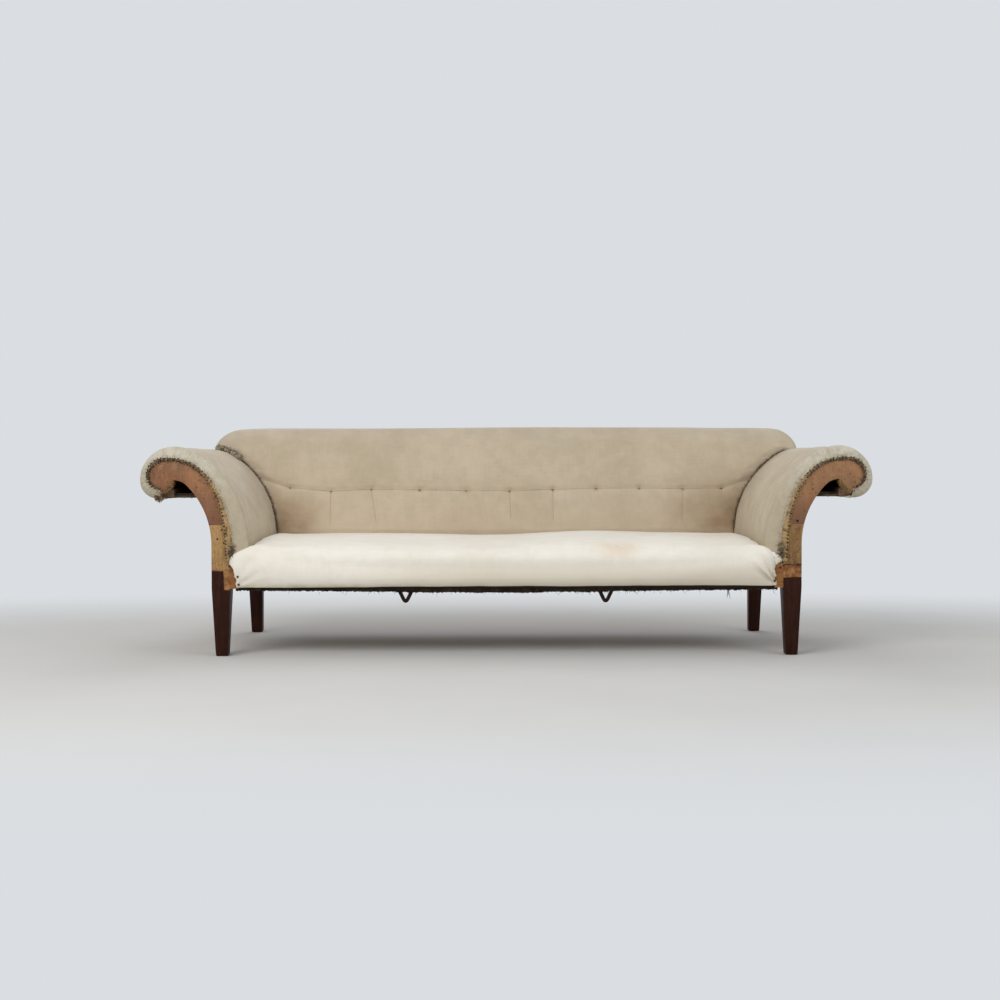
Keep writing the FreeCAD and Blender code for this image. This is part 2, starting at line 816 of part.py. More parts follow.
def back_pad():
    """The stuffed back, over the top rail and down to the seat, fitted round the arms."""
    face = back_outline(back_half_width, pad_top, back_corner_radius, back_pad_bottom)
    block = along_y(face, -back_pad_thick, back_rear)
    rim = [edge for edge in block.Edges
           if abs(edge.CenterOfMass.y + back_pad_thick) < past and edge.CenterOfMass.z > pad_top / 2 + past]
    block = block.makeFillet(back_pad_rounding, rim)
    rear_rim = [edge for edge in block.Edges
                if abs(edge.CenterOfMass.y - back_rear) < past and edge.CenterOfMass.z > pad_top / 2 + past]
    block = block.makeChamfer(back_edge_chamfer, rear_rim)
    room = frame_slab(-soft_gap, -back_hessian_front - soft_gap, reach, -reach)
    holes = []
    for x in tuft_places():
        holes.append(rod(twine_diameter / 2 + soft_gap, 2 * back_pad_thick, x, -2 * back_pad_thick,
                         tuft_height))
    return leaned(block.cut([room] + holes)).cut([beside_arm(), mirrored(beside_arm())])


def back_tufts():
    """Stab stitches: a twine through the stuffing with a flat knot on the calico."""
    stitches = []
    for x in tuft_places():
        front = -back_pad_thick - soft_gap
        knot = rod(knot_diameter / 2, knot_thick, x, front - knot_thick, tuft_height)
        twine = rod(twine_diameter / 2, -back_hessian_front - touch - front, x, front, tuft_height)
        stitches.append(leaned(knot.fuse(twine)))
    return group(stitches)


def outside_back_lining():
    """Hessian over the outside of the back, from the seat rail to the top corners."""
    rear = back_y + rear_leg_depth
    head = (back_y + back_frame_thick * lean_cos + frame_top * lean_sin,
            rail_top - back_frame_thick * lean_sin + frame_top * lean_cos)
    chain = [(rear, leg_height + lining_gap), (rear, rail_top), head]
    section = strip_section(chain, -touch, -touch - lining_thick)
    sheet = along_x(polygon([side_point(y, z) for y, z in section]), -back_half_width, back_half_width)
    upper = frame_slab(lining_gap, 0, 2 * back_frame_thick, corner_low + lining_gap)
    middle = box(-upright_inner, upright_inner, -past, 2 * back_frame_thick + past, -reach, upright_top)
    return sheet.common(leaned(upper.fuse(middle)))


def outside_arm_lining():
    """Hessian from the side rail up to the under rail, then out under the roll."""
    outer = frame_outer + under_rail_reach
    chain = [(frame_outer, leg_height + lining_gap), (frame_outer, lining_bend),
             (outer, scroll_rail_z - under_rail_drop - under_rail_width), (outer, scroll_rail_z),
             (scroll_rail_x1 - rail_rounding, scroll_rail_z)]
    section = front_polygon(strip_section(chain, -touch, -touch - lining_thick))
    return along_y(section, post_back + touch, reach).cut(behind_back_plane(touch))


# Seat

seat_web_low = leg_height - touch - web_thick
spring_z = leg_height + touch
hessian_z = spring_z + spring_height + touch + cloth_thick
seat_slope_front = front_y + spring_edge_front
seat_slope_back = back_y - spring_edge_rear


def seat_webs_long():
    """Webs from side rail to side rail, tacked under the frame."""
    half = frame_outer - (1 - rail_web_wrap) * side_rail_thick
    middle = (post_back + back_y) / 2
    webs = []
    for i in range(seat_web_rows):
        y = middle + (i - (seat_web_rows - 1) / 2) * seat_web_pitch
        webs.append(box(-half, half, y - web_width / 2, y + web_width / 2, seat_web_low,
                        seat_web_low + web_thick))
    return group(webs)


def seat_webs_cross():
    """Webs from front rail to rear rail, under the long ones."""
    y0 = front_y + (1 - rail_web_wrap) * front_rail_thick
    y1 = rear_rail_y + (rail_web_wrap - 0.5) * side_rail_thick
    top = seat_web_low - touch
    count = int((post_inner - web_width / 2) / seat_web_pitch)
    webs = []
    for i in range(-count, count + 1):
        x = i * seat_web_pitch
        webs.append(box(x - web_width / 2, x + web_width / 2, y0, y1, top - web_thick, top))
    return group(webs)


def spring():
    """An hourglass coil in three-sided wire, its turns worked out facet by facet."""
    count = spring_turns * spring_facets
    rise = spring_height - spring_wire
    path = []
    for i in range(count + 1):
        share = i / count
        radius = spring_waist + (spring_radius - spring_waist) * abs(2 * share - 1)
        turn = 2 * math.pi * i / spring_facets
        path.append(V(radius * math.cos(turn), radius * math.sin(turn), spring_wire / 2 + share * rise))
    start = path[0]
    ahead = path[1] - path[0]
    ahead.normalize()
    out = V(1, 0, 0)
    out = out - ahead * out.dot(ahead)
    out.normalize()
    up = ahead.cross(out)
    corners = []
    for angle in (90, 210, 330):
        turn = math.radians(angle)
        corners.append(start + (out * math.cos(turn) + up * math.sin(turn)) * (spring_wire / 2))
    wire = Part.makePolygon(corners + corners[:1])
    return Part.Wire(Part.makePolygon(path)).makePipeShell([wire], True, False, 1)


def seat_springs():
    count = int((arm_pad_inner - spring_radius) / spring_pitch)
    one = spring()
    low = spring_z - one.BoundBox.ZMin
    springs = []
    for i in range(-count, count + 1):
        for y in spring_rows:
            springs.append(one.translated(V(i * spring_pitch, y, low)))
    return group(springs)


def seat_corner_room():
    """The room of the posts and uprights where they rise through the seat."""
    front = box(post_inner - soft_gap, reach, -reach, post_back + soft_gap, 0, reach)
    rear = box(upright_inner - soft_gap, reach, back_y - soft_gap, reach, 0, reach)
    return [front, rear, mirrored(front), mirrored(rear)]


def spring_hessian():
    """Hessian over the springs, tacked along the tops of the four rails."""
    wide = frame_outer - cloth_inset
    narrow = arm_pad_inner + spring_edge_side
    outer = ring(-wide, wide, front_y + cloth_front_inset, rear_rail_y, rail_top + touch)
    inner = ring(-narrow, narrow, seat_slope_front, seat_slope_back, hessian_z)
    dome = frustum(outer, inner)
    return dome.cut(dome.translated(V(0, 0, -cloth_thick))).cut(seat_corner_room())


def seat_pad():
    """The stuffed seat over the springs, rolled over the front rail and down its face."""
    lip = side_point(front_y - touch - seat_lip, leg_height)
    swell = side_point(front_y - seat_swell, seat_swell_height)
    halfway = side_point(front_y - seat_waist_share * seat_swell, (leg_height + seat_swell_height) / 2)
    shoulder = side_point(front_y - seat_edge_share * seat_swell,
                          seat_swell_height + seat_waist_share * seat_roll)
    front_top = side_point(front_y + seat_roll - seat_swell, seat_front_height)
    crown = side_point((front_y + back_y) / 2, seat_crown_height)
    rear = side_point(back_y, seat_back_height)
    under_rear = side_point(back_y, hessian_z + soft_gap)
    under_front = side_point(seat_slope_front, hessian_z + soft_gap)
    rail_edge = side_point(front_y - touch, rail_top + soft_gap)
    foot = side_point(front_y - touch, leg_height)
    edges = [bow(lip, halfway, swell), bow(swell, shoulder, front_top), bow(front_top, crown, rear)]
    for p, q in ((rear, under_rear), (under_rear, under_front), (under_front, rail_edge), (rail_edge, foot),
                 (foot, lip)):
        edges.append(line(p, q))
    solid = along_x(filled(edges), -post_inner + soft_gap, post_inner - soft_gap)
    apron = box(post_inner - seat_front_inset, reach, -reach, front_y - touch / 2, 0, reach)
    side = box(arm_pad_inner - soft_gap, reach, board_back - soft_gap, reach, 0, reach)
    limits = [apron, mirrored(apron), side, mirrored(side), behind_back_plane(back_pad_thick + soft_gap)]
    return solid.cut(limits)


# Small pieces under the front rail

def rail_hooks():
    """V-shaped iron straps under the front rail, one at each stretcher."""
    half = hook_width / 2
    top = leg_height - touch
    low = top - hook_drop
    inner = half - hook_bar * hook_bar_share
    tip = hook_bar / 2
    slope = hook_drop / (half - tip)
    vee = front_polygon([(-half, top), (-tip, low), (tip, low), (half, top), (inner, top),
                         (0, top - inner * slope), (-inner, top)])
    y0 = front_y + hook_setback
    plate = along_y(vee, y0, y0 + hook_thick)
    feet = [box(-half, -inner, y0, y0 + hook_foot, top - hook_thick, top),
            box(inner, half, y0, y0 + hook_foot, top - hook_thick, top)]
    strap = plate.fuse(feet).removeSplitter()
    return group([strap.translated(V(side * stretcher_offset, 0, 0)) for side in (-1, 1)])


def bottoming_strip():
    """The torn edge of the bottoming cloth along the front rail."""
    y0 = front_y + strip_setback
    half = post_inner - seat_front_inset
    return box(-half, half, y0, y0 + lining_thick, leg_height - strip_drop, leg_height - touch)


pieces = {
    "rear_seat_rail": rear_seat_rail(), "front_seat_rail": front_seat_rail(),
    "corner_blocks": corner_blocks(), "seat_stretchers": seat_stretchers(), "scroll_dowels": scroll_dowels(),
    "back_top_rail": back_top_rail(), "back_tacking_rail": back_tacking_rail(), "back_stiles": back_stiles(),
    "back_webs_upright": back_webs_upright(), "back_webs_level": back_webs_level(),
    "back_hessian": back_hessian(), "back_pad": back_pad(), "back_tufts": back_tufts(),
    "outside_back_lining": outside_back_lining(), "seat_webs_long": seat_webs_long(),
    "seat_webs_cross": seat_webs_cross(), "seat_springs": seat_springs(), "spring_hessian": spring_hessian(),
    "seat_pad": seat_pad(), "rail_hooks": rail_hooks(), "bottoming_strip": bottoming_strip(),
    "post_patch_right": post_patch(),
}
paired = {
    "front_leg": front_leg(), "rear_leg": rear_leg(), "side_seat_rail": side_seat_rail(),
    "scroll_board_front": scroll_board_front(), "scroll_board_rear": scroll_board_rear(),
    "arm_top_rail": arm_top_rail(), "arm_scroll_rail": arm_scroll_rail(), "arm_under_rail": arm_under_rail(),
    "arm_tacking_rail": arm_tacking_rail(), "arm_webbing": arm_webbing(), "arm_hessian": arm_hessian(),
    "arm_pad": arm_pad(), "facing_band": facing_band(), "back_corner": back_corner(),
    "outside_arm_lining": outside_arm_lining(),
}
for name, shape in paired.items():
    pieces[name + "_right"] = shape
    pieces[name + "_left"] = mirrored(shape)

os.makedirs("parts", exist_ok=True)
for name, shape in pieces.items():
    shape.exportStep("parts/" + name + ".step")
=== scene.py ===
# %% [markdown]
# # English roll arm sofa, stripped to its calico
# The sofa's joinery, webbing and linings come from a CAD model. This lesson dresses it: stuffed pads in aged
# calico, hessian bands with their tacks, worn wood, rusty iron. All lengths are in metres.

# %% Frame
import json
import math
import random

import bpy
import numpy as np
from mathutils import Matrix, Vector, noise


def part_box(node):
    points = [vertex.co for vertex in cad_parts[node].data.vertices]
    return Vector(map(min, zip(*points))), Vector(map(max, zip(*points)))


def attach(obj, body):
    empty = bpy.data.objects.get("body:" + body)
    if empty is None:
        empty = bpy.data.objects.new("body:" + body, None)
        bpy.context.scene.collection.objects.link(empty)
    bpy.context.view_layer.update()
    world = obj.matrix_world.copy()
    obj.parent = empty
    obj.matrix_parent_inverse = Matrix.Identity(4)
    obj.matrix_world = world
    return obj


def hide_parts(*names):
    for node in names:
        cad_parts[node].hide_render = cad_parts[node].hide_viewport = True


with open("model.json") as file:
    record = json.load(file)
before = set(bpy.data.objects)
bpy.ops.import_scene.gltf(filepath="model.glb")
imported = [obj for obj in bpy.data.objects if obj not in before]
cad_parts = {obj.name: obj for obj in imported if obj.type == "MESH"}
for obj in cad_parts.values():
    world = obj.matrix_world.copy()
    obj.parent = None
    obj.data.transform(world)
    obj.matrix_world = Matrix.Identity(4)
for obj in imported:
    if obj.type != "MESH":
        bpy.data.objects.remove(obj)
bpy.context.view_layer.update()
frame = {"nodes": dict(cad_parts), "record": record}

nodes = frame["nodes"]
both_sides = (("left", -1), ("right", 1))

# %% [markdown]
# The camera stands five metres away, a little below the crest of the arms. Its place was fitted to the
# four feet, the crests of both arms and the corners of the back.

# %% Camera
scene = bpy.context.scene
scene.view_settings.view_transform = "Standard"


def camera_turn(yaw, pitch, roll):
    """Rotation of a camera that looks along +Y, then turns by these angles in radians."""
    ahead = Vector((-math.sin(yaw) * math.cos(pitch), math.cos(yaw) * math.cos(pitch), math.sin(pitch)))
    right = Vector((math.cos(yaw), math.sin(yaw), 0))
    up = right.cross(ahead)
    across = right * math.cos(roll) + up * math.sin(roll)
    upward = up * math.cos(roll) - right * math.sin(roll)
    return Matrix((across, upward, -ahead)).transposed()


camera = bpy.data.objects.new("camera", bpy.data.cameras.new("camera"))
scene.collection.objects.link(camera)
camera.data.sensor_width = 36.0
camera.data.lens = 52.55
camera.matrix_world = Matrix.Translation((-0.030, -5.157, 0.615)) @ camera_turn(-0.0018, -0.0220, -0.0021).to_4x4()
scene.camera = camera
print("camera", [round(v, 3) for v in camera.location], "lens", camera.data.lens)

# %% [markdown]
# Soft light comes from a pale world and from three large lamps: one at each side in front, and a weak one
# behind. What the camera sees behind the sofa is a separate pale colour, which adds no light.

# %% Light


def area_lamp(name, place, aim, size, power, colour):
    lamp = bpy.data.objects.new(name, bpy.data.lights.new(name, "AREA"))
    scene.collection.objects.link(lamp)
    lamp.data.shape = "SQUARE"
    lamp.data.size = size
    lamp.data.energy = power
    lamp.data.color = colour
    lamp.location = place
    lamp.rotation_euler = (Vector(aim) - Vector(place)).to_track_quat("-Z", "Y").to_euler()


area_lamp("key", (-2.2, -3.6, 3.4), (0, 0, 0.4), 2.6, 105, (1.0, 0.985, 0.96))
area_lamp("fill", (3.0, -3.2, 2.2), (0, 0, 0.4), 2.4, 34, (0.94, 0.97, 1.0))
area_lamp("rim", (0.0, 2.8, 3.0), (0, 0.2, 0.5), 2.4, 30, (0.97, 0.98, 1.0))

backdrop = (0.70, 0.73, 0.76)
world = bpy.data.worlds.new("studio")
scene.world = world
world.use_nodes = True
tree = world.node_tree
glow = tree.nodes["Background"]
glow.inputs["Color"].default_value = (0.95, 0.97, 1.0, 1)
glow.inputs["Strength"].default_value = 0.55
shown = tree.nodes.new("ShaderNodeBackground")
shown.inputs["Color"].default_value = (*backdrop, 1)
path = tree.nodes.new("ShaderNodeLightPath")
seen = path.outputs["Is Camera Ray"]
for ray in ("Is Glossy Ray", "Is Transmission Ray"):
    either = tree.nodes.new("ShaderNodeMath")
    either.operation = "MAXIMUM"
    tree.links.new(seen, either.inputs[0])
    tree.links.new(path.outputs[ray], either.inputs[1])
    seen = either.outputs[0]
mix = tree.nodes.new("ShaderNodeMixShader")
tree.links.new(seen, mix.inputs[0])
tree.links.new(glow.outputs[0], mix.inputs[1])
tree.links.new(shown.outputs[0], mix.inputs[2])
tree.links.new(mix.outputs[0], tree.nodes["World Output"].inputs[0])

# %% [markdown]
# Shader maths reads best as plain expressions. A Value wraps a socket, and its operators add Math nodes;
# a Finish is one material and adds every other kind of node.

# %% Shader helpers


class Value:
    """A socket carrying one number over the surface."""

    def __init__(self, finish, socket):
        self.finish = finish
        self.socket = socket

    def maths(self, operation, *numbers):
        return self.finish.add("ShaderNodeMath", {"operation": operation}, dict(enumerate(numbers)))

    def __add__(self, other):
        return self.maths("ADD", self, other)

    def __sub__(self, other):
        return self.maths("SUBTRACT", self, other)

    def __rsub__(self, other):
        return self.maths("SUBTRACT", other, self)

    def __mul__(self, other):
        return self.maths("MULTIPLY", self, other)

    def most(self, other):
        return self.maths("MAXIMUM", self, other)

    def size(self):
        return self.maths("ABSOLUTE", self)

    def sine(self):
        return self.maths("SINE", self)


class Finish:
    """A material with a Principled shader, and the few ways in which this lesson adds nodes to it."""

    def __init__(self, name, roughness=0.85, **plain):
        self.material = bpy.data.materials.new(name)
        self.material.use_nodes = True
        self.tree = self.material.node_tree
        self.shader = self.tree.nodes["Principled BSDF"]
        self.plain("Roughness", roughness)
        for key, value in plain.items():
            self.plain(key.replace("_", " "), value)
        self.place = self.add("ShaderNodeTexCoord", {}, {}, "Object")

    def add(self, kind, settings, sockets, output=0):
        node = self.tree.nodes.new(kind)
        for key, value in settings.items():
            setattr(node, key, value)
        for key, value in sockets.items():
            if isinstance(value, Value):
                self.tree.links.new(value.socket, node.inputs[key])
            else:
                node.inputs[key].default_value = value
        return Value(self, node.outputs[output])

    def plain(self, name, value):
        """Sets one input of the shader to a constant."""
        self.shader.inputs[name].default_value = value

    def cloth(self):
        """The piece's own cloth coordinates, in metres along its warp and weft."""
        return self.add("ShaderNodeUVMap", {"uv_map": "cloth"}, {})

    def scaled(self, vector, scale, move=(0, 0, 0)):
        return self.add("ShaderNodeMapping", {}, {"Vector": vector, "Scale": scale, "Location": move})

    def length(self, vector):
        return self.add("ShaderNodeVectorMath", {"operation": "LENGTH"}, {0: vector}, "Value")

    def noise(self, vector, scale, detail=4.0, roughness=0.55, distortion=0.0):
        return self.add("ShaderNodeTexNoise", {}, {"Vector": vector, "Scale": scale, "Detail": detail,
                                                   "Roughness": roughness, "Distortion": distortion})

    def ranged(self, value, low, high, to_low=0.0, to_high=1.0):
        """A smooth step: to_low at low, to_high at high."""
        return self.add("ShaderNodeMapRange", {"interpolation_type": "SMOOTHSTEP"},
                        {"Value": value, "From Min": low, "From Max": high, "To Min": to_low, "To Max": to_high})

    def axis(self, vector, name):
        return self.add("ShaderNodeSeparateXYZ", {}, {0: vector}, name)

    def level(self, name, low, high, to_low=0.0, to_high=1.0):
        """A smooth step along one axis of the sofa."""
        return self.ranged(self.axis(self.place, name), low, high, to_low, to_high)

    def patches(self, low, high, scale, detail=4.0, roughness=0.55):
        """Irregular patches: 1 where a noise is above high, 0 where it is below low."""
        return self.ranged(self.noise(self.place, scale, detail, roughness), low, high)

    def spot(self, centre, radii, edge):
        """1 at a centre, 0 outside an ellipsoid, with a soft rim."""
        unit = [1 / r for r in radii]
        here = self.scaled(self.place, unit, move=[-c * u for c, u in zip(centre, unit)])
        return self.ranged(self.length(here), edge, 1.0, 1.0, 0.0)

    def blend(self, factor, first, second):
        """A colour mix; colours are triples or the results of other mixes."""
        colours = [c if isinstance(c, Value) else (*c, 1) for c in (first, second)]
        return self.add("ShaderNodeMix", {"data_type": "RGBA"}, {0: factor, 6: colours[0], 7: colours[1]}, 2)

    def layers(self, base, *coats):
        """A base colour under coats of others, each a (factor, colour) pair."""
        for factor, colour in coats:
            base = self.blend(factor, base, colour)
        return base

    def feed(self, name, value):
        """Links a value to one input of the shader."""
        self.tree.links.new(value.socket, self.shader.inputs[name])

    def colour(self, value):
        self.tone = value
        self.feed("Base Color", value)

    def coats(self, *coats):
        """Lays coats of colour over the present one."""
        self.colour(self.layers(self.tone, *coats))

    def bump(self, height, strength, distance):
        self.feed("Normal", self.add("ShaderNodeBump", {}, {"Height": height, "Strength": strength,
                                                            "Distance": distance}))


def weave(finish, pitch, cloth=None):
    """Threads that pass over and under each other: 0 in the gaps, 1 on the crowns."""
    cloth = cloth or finish.cloth()
    waves = []
    for names in ("XY", "YX"):
        ridge, lift = [(finish.axis(cloth, name) * (math.pi / pitch)).sine() for name in names]
        waves.append((ridge * lift) * 0.5 + 0.5)
    return waves[0].most(1 - waves[1])


# %% [markdown]
# Old calico is a plain cotton weave. It has slubs along both threads, a faint cloudy unevenness, and dirt
# where hands and dust reached it. The same recipe serves back, arms and seat, with their own colours.

# %% Calico
lean = math.radians(11.0)
back_y, seat_z = 0.28349, 0.300
tuft_rise = 0.226
tuft_shift = (0.004, -0.005, -0.015, 0.003, 0.015, 0.015, 0.015, 0.015, 0.015, 0.015, -0.002)
tuft_x = [(i - 5) * 0.161 + shift for i, shift in enumerate(tuft_shift)]
tuft_up = [tuft_rise + lift for lift in (0.010, -0.0035, 0.0035, 0.001, -0.0025, -0.0035, 0.001, 0.005, 0.006, 0.0035,
                                         0.005)]
pull_reach = {1: 0.12, 2: 0.115, 5: 0.10, 6: 0.105, 9: 0.11}
pull_slant = {2: 0.16, 5: 0.05, 9: -0.05}
crease_end, crease_rise = 0.80, 0.32


def slubs(finish, cloth, pitch=0.004):
    """Thicker threads here and there, along the warp and along the weft."""
    warp = finish.noise(finish.scaled(cloth, (1 / pitch, 12, 1)), 1.0, 2.0)
    weft = finish.noise(finish.scaled(cloth, (12, 1 / pitch, 1)), 1.0, 2.0)
    return warp * 0.5 + weft * 0.5


def calico(name, light, dark):
    finish = Finish(name, roughness=0.92, Sheen_Weight=0.12, Sheen_Roughness=0.5)
    cloth = finish.cloth()
    threads = slubs(finish, cloth)
    cloud = finish.noise(finish.place, 3.2, 6.0, 0.62)
    fine = finish.noise(finish.place, 22.0, 4.0, 0.6)
    tone = finish.ranged(cloud * 0.48 + fine * 0.28 + threads * 0.24, 0.37, 0.63)
    finish.colour(finish.blend(tone, dark, light))
    finish.bump(threads * 0.6 + weave(finish, 0.0013) * 0.25 + fine * 0.5, 0.35, 0.0012)
    return finish


back_calico = calico("aged_calico_back", (0.570, 0.476, 0.352), (0.470, 0.385, 0.275))
patchy = back_calico.patches(0.35, 0.7, 9.0, 5.0, 0.65)
specks = back_calico.patches(0.765, 0.785, 60.0, 2.0, 0.4)
left_corner = back_calico.spot((-0.86, 0.20, 0.43), (0.26, 0.4, 0.15), 0.1)
right_corner = back_calico.spot((0.88, 0.20, 0.44), (0.34, 0.4, 0.17), 0.1)
back_calico.coats((back_calico.level("Z", 0.37, 0.50, 1, 0) * 0.25, (0.60, 0.48, 0.34)),
                  (left_corner.most(right_corner) * (patchy * 0.5 + 0.60), (0.300, 0.190, 0.100)),
                  (back_calico.level("Z", 0.66, 0.77) * patchy * 0.4, (0.46, 0.415, 0.335)),
                  (specks * 0.6, (0.30, 0.215, 0.13)))

# %% [markdown]
# Shade is painted into the folds of the back, as thin dark lines: in the crease that joins the stitches, which
# wanders up and down with them, and in the slack pulls that fall from some of them.

# %% Folds of the back


def crease_shade_line(away, width):
    """1 on a thin line of painted shade in a fold, and 0 beside it; away is the distance from the line."""
    return away.finish.ranged(away.size(), width * 0.3, width, 1, 0)


back_x, back_deep, back_high = [back_calico.axis(back_calico.place, name) for name in "XYZ"]
up_back = (back_high - seat_z) * math.cos(lean) + (back_deep - back_y) * math.sin(lean)
meander = back_calico.noise(back_calico.scaled(back_calico.place, (9.0, 0, 0)), 1.0, 2.0) * 0.010 - 0.005
crease_gaps = back_calico.noise(back_calico.scaled(back_calico.place, (14.0, 0, 0)), 1.0, 3.0)
far_back = back_x.size()
crease_up = (far_back - crease_end).most(0.0) * crease_rise
for i in range(len(tuft_x) - 1):
    crease_up = crease_up + back_calico.add("ShaderNodeMapRange", {}, {
        "Value": back_x, "From Min": tuft_x[i], "From Max": tuft_x[i + 1],
        "To Min": 0.0, "To Max": tuft_up[i + 1] - tuft_up[i]})
crease_shade = crease_shade_line(up_back - tuft_up[0] - crease_up - meander * 0.35, 0.0022)
crease_shade = crease_shade * back_calico.ranged(crease_gaps, 0.35, 0.65, 0.35, 1)
for i, reach in pull_reach.items():
    beside = back_x - tuft_x[i] - (tuft_rise - up_back) * pull_slant.get(i, 0.0) - meander * 0.4
    drop = back_calico.ranged(up_back, tuft_rise - reach - 0.02, tuft_rise - reach)
    drop = drop * back_calico.ranged(up_back, tuft_rise - 0.002, tuft_rise, 1, 0)
    crease_shade = crease_shade.most(crease_shade_line(beside, 0.0020) * drop * 0.7)
# Painted shade: the crease and the pulls are darkened along thin lines, which a noise breaks into gaps.
back_calico.coats((crease_shade * back_calico.ranged(far_back, 0.90, 0.93, 1, 0) * 0.62, (0.235, 0.160, 0.095)))

# %% [markdown]
# The arms are paler on the roll and darker towards the seat. The edge turned over in front is paler again. The
# seat is nearly white, with a rusty stain right of the middle and a dirty lower edge. Shade is painted over the
# lower half of its front, deeper towards the right.

# %% Calico of arms and seat
arm_calico = calico("aged_calico_arms", (0.575, 0.485, 0.355), (0.455, 0.375, 0.262))
on_roll = arm_calico.ranged(arm_calico.axis(arm_calico.place, "X").size(), 1.00, 1.15)
arm_calico.coats((on_roll * 0.75, (0.650, 0.620, 0.510)),
                 (arm_calico.patches(0.45, 0.75, 7.0, 5.0, 0.6) * 0.35, (0.40, 0.325, 0.215)),
                 (arm_calico.level("Z", 0.36, 0.42, 1, 0) * 0.3, (0.42, 0.33, 0.19)))

folded_calico = calico("folded_calico", (0.620, 0.572, 0.470), (0.470, 0.420, 0.318))
folded_calico.coats((folded_calico.level("Z", 0.48, 0.66, 1, 0) * 0.85, (0.450, 0.375, 0.262)),
                    (folded_calico.patches(0.40, 0.66, 48.0, 4.0, 0.6) * 0.35, (0.36, 0.31, 0.21)))

seat_calico = calico("clean_calico_seat", (0.880, 0.838, 0.752), (0.800, 0.745, 0.645))
seat_dirt = seat_calico.patches(0.3, 0.75, 12.0, 5.0, 0.6)
rusty = seat_calico.spot((0.365, -0.365, 0.345), (0.13, 0.08, 0.05), 0.0)
# Painted shade over the lower half of the seat's front, deeper towards the right.
front_shade = seat_calico.level("Z", 0.255, 0.335, 1, 0) * seat_calico.level("X", -0.7, 0.0, 0.12, 1.0)
seat_calico.coats((seat_calico.level("Z", 0.221, 0.246, 1, 0) * (seat_dirt * 0.7 + 0.3), (0.42, 0.36, 0.20)),
                  (rusty * (seat_dirt * 0.45 + 0.15), (0.66, 0.42, 0.20)),
                  (front_shade * 0.72, (0.62, 0.545, 0.42)))
print("calico for back, arms and seat")

# %% [markdown]
# Hessian and its kin are coarse jute weaves: straw gold where clean, nearly black in the dust by the tacks.
# Two crossed sine waves give the threads. They follow the cloth coordinates, so they turn with the cloth.

# %% Jute


def jute(name, light, dark, pitch=0.0028, dirt=0.5, soot=False):
    finish = Finish(name, roughness=0.95)
    cloth = finish.cloth()
    threads = weave(finish, pitch, cloth)
    slub = slubs(finish, cloth, 0.006)
    cloud = finish.noise(finish.place, 30.0, 5.0, 0.65)
    grime = finish.patches(0.48, 0.66, 55.0, 4.0, 0.6)
    finish.colour(finish.layers(
        dark, (finish.ranged(slub * 0.5 + cloud * 0.5, 0.36, 0.64), light),
        (finish.ranged(threads, 0.15, 0.6, 0.55, 0.0), [c * 0.3 for c in dark]),
        (grime * dirt, (0.055, 0.038, 0.022))))
    if soot:
        outer = finish.ranged(finish.axis(finish.place, "X").size(), 0.945, 1.03)
        black = finish.patches(0.34, 0.60, 90.0, 4.0, 0.6)
        finish.coats((outer * (black * 0.6 + 0.4), (0.060, 0.034, 0.016)))
    finish.bump(threads * 0.8 + slub * 0.6, 0.8, 0.0015)
    return finish


band_jute = jute("band_hessian", (0.52, 0.345, 0.155), (0.26, 0.150, 0.060), dirt=0.75, soot=True)
lining_jute = jute("lining_hessian", (0.42, 0.315, 0.165), (0.27, 0.19, 0.095), 0.0035, 0.15)
patch_cloth = jute("patch_cloth", (0.330, 0.185, 0.072), (0.215, 0.112, 0.040), 0.0022, 0.35)
bottom_cloth = jute("bottoming_cloth", (0.024, 0.017, 0.009), (0.008, 0.006, 0.004), 0.0018, 0.5)
bottom_cloth.plain("Specular IOR Level", 0.1)
loose_cotton = jute("loose_cotton", (0.72, 0.66, 0.52), (0.50, 0.44, 0.33), dirt=0.1)
loose_jute = jute("loose_jute", (0.48, 0.32, 0.13), (0.24, 0.14, 0.055), dirt=0.3)
twine_jute = jute("stitching_twine", (0.36, 0.26, 0.14), (0.16, 0.10, 0.05), 0.0015, 0.4)
wadding = jute("grey_wadding", (0.235, 0.185, 0.115), (0.10, 0.075, 0.042), 0.004, 0.35)
light_wadding = jute("light_wadding", (0.46, 0.405, 0.300), (0.25, 0.205, 0.140), 0.004, 0.45)


def webbing_jute():
    """Jute webbing: a herringbone weave with darker lines along both selvedges."""
    finish = Finish("jute_webbing", roughness=0.93)
    cloth = finish.cloth()
    along, across = finish.axis(cloth, "X"), finish.axis(cloth, "Y")
    rib, slant, middle = 0.006, 0.0032, 0.025
    twill = ((along + across.maths("PINGPONG", across, rib)) * (2 * math.pi / slant)).sine()
    off = (across - middle).size()
    line = finish.ranged(off, 0.0165, 0.0175) * finish.ranged(off, 0.0200, 0.0210, 1.0, 0.0)
    finish.colour(finish.layers((0.27, 0.19, 0.10), (finish.patches(0.35, 0.65, 14.0, 5.0, 0.6), (0.42, 0.31, 0.17)),
                                (finish.ranged(twill, -0.6, 0.4, 0.45, 0.0), (0.12, 0.08, 0.04)),
                                (line * 0.7, (0.10, 0.05, 0.03))))
    finish.bump(twill, 0.6, 0.0008)
    return finish


web_jute = webbing_jute()
print("hessian, webbing, twine and bottoming cloth")

# %% [markdown]
# The scrolls are red-brown where an old stain reached them, and the posts bare yellow below the joint.
# Dark polish covers the legs up to a level line, which steps down beside the rail on the left. Grain runs
# along the plank, so the noise is stretched along Z on posts and scroll boards, and along a rail's length.
# A wood starts as one recipe, and coats of other colours are then laid over it where a mask allows.

# %% Wood


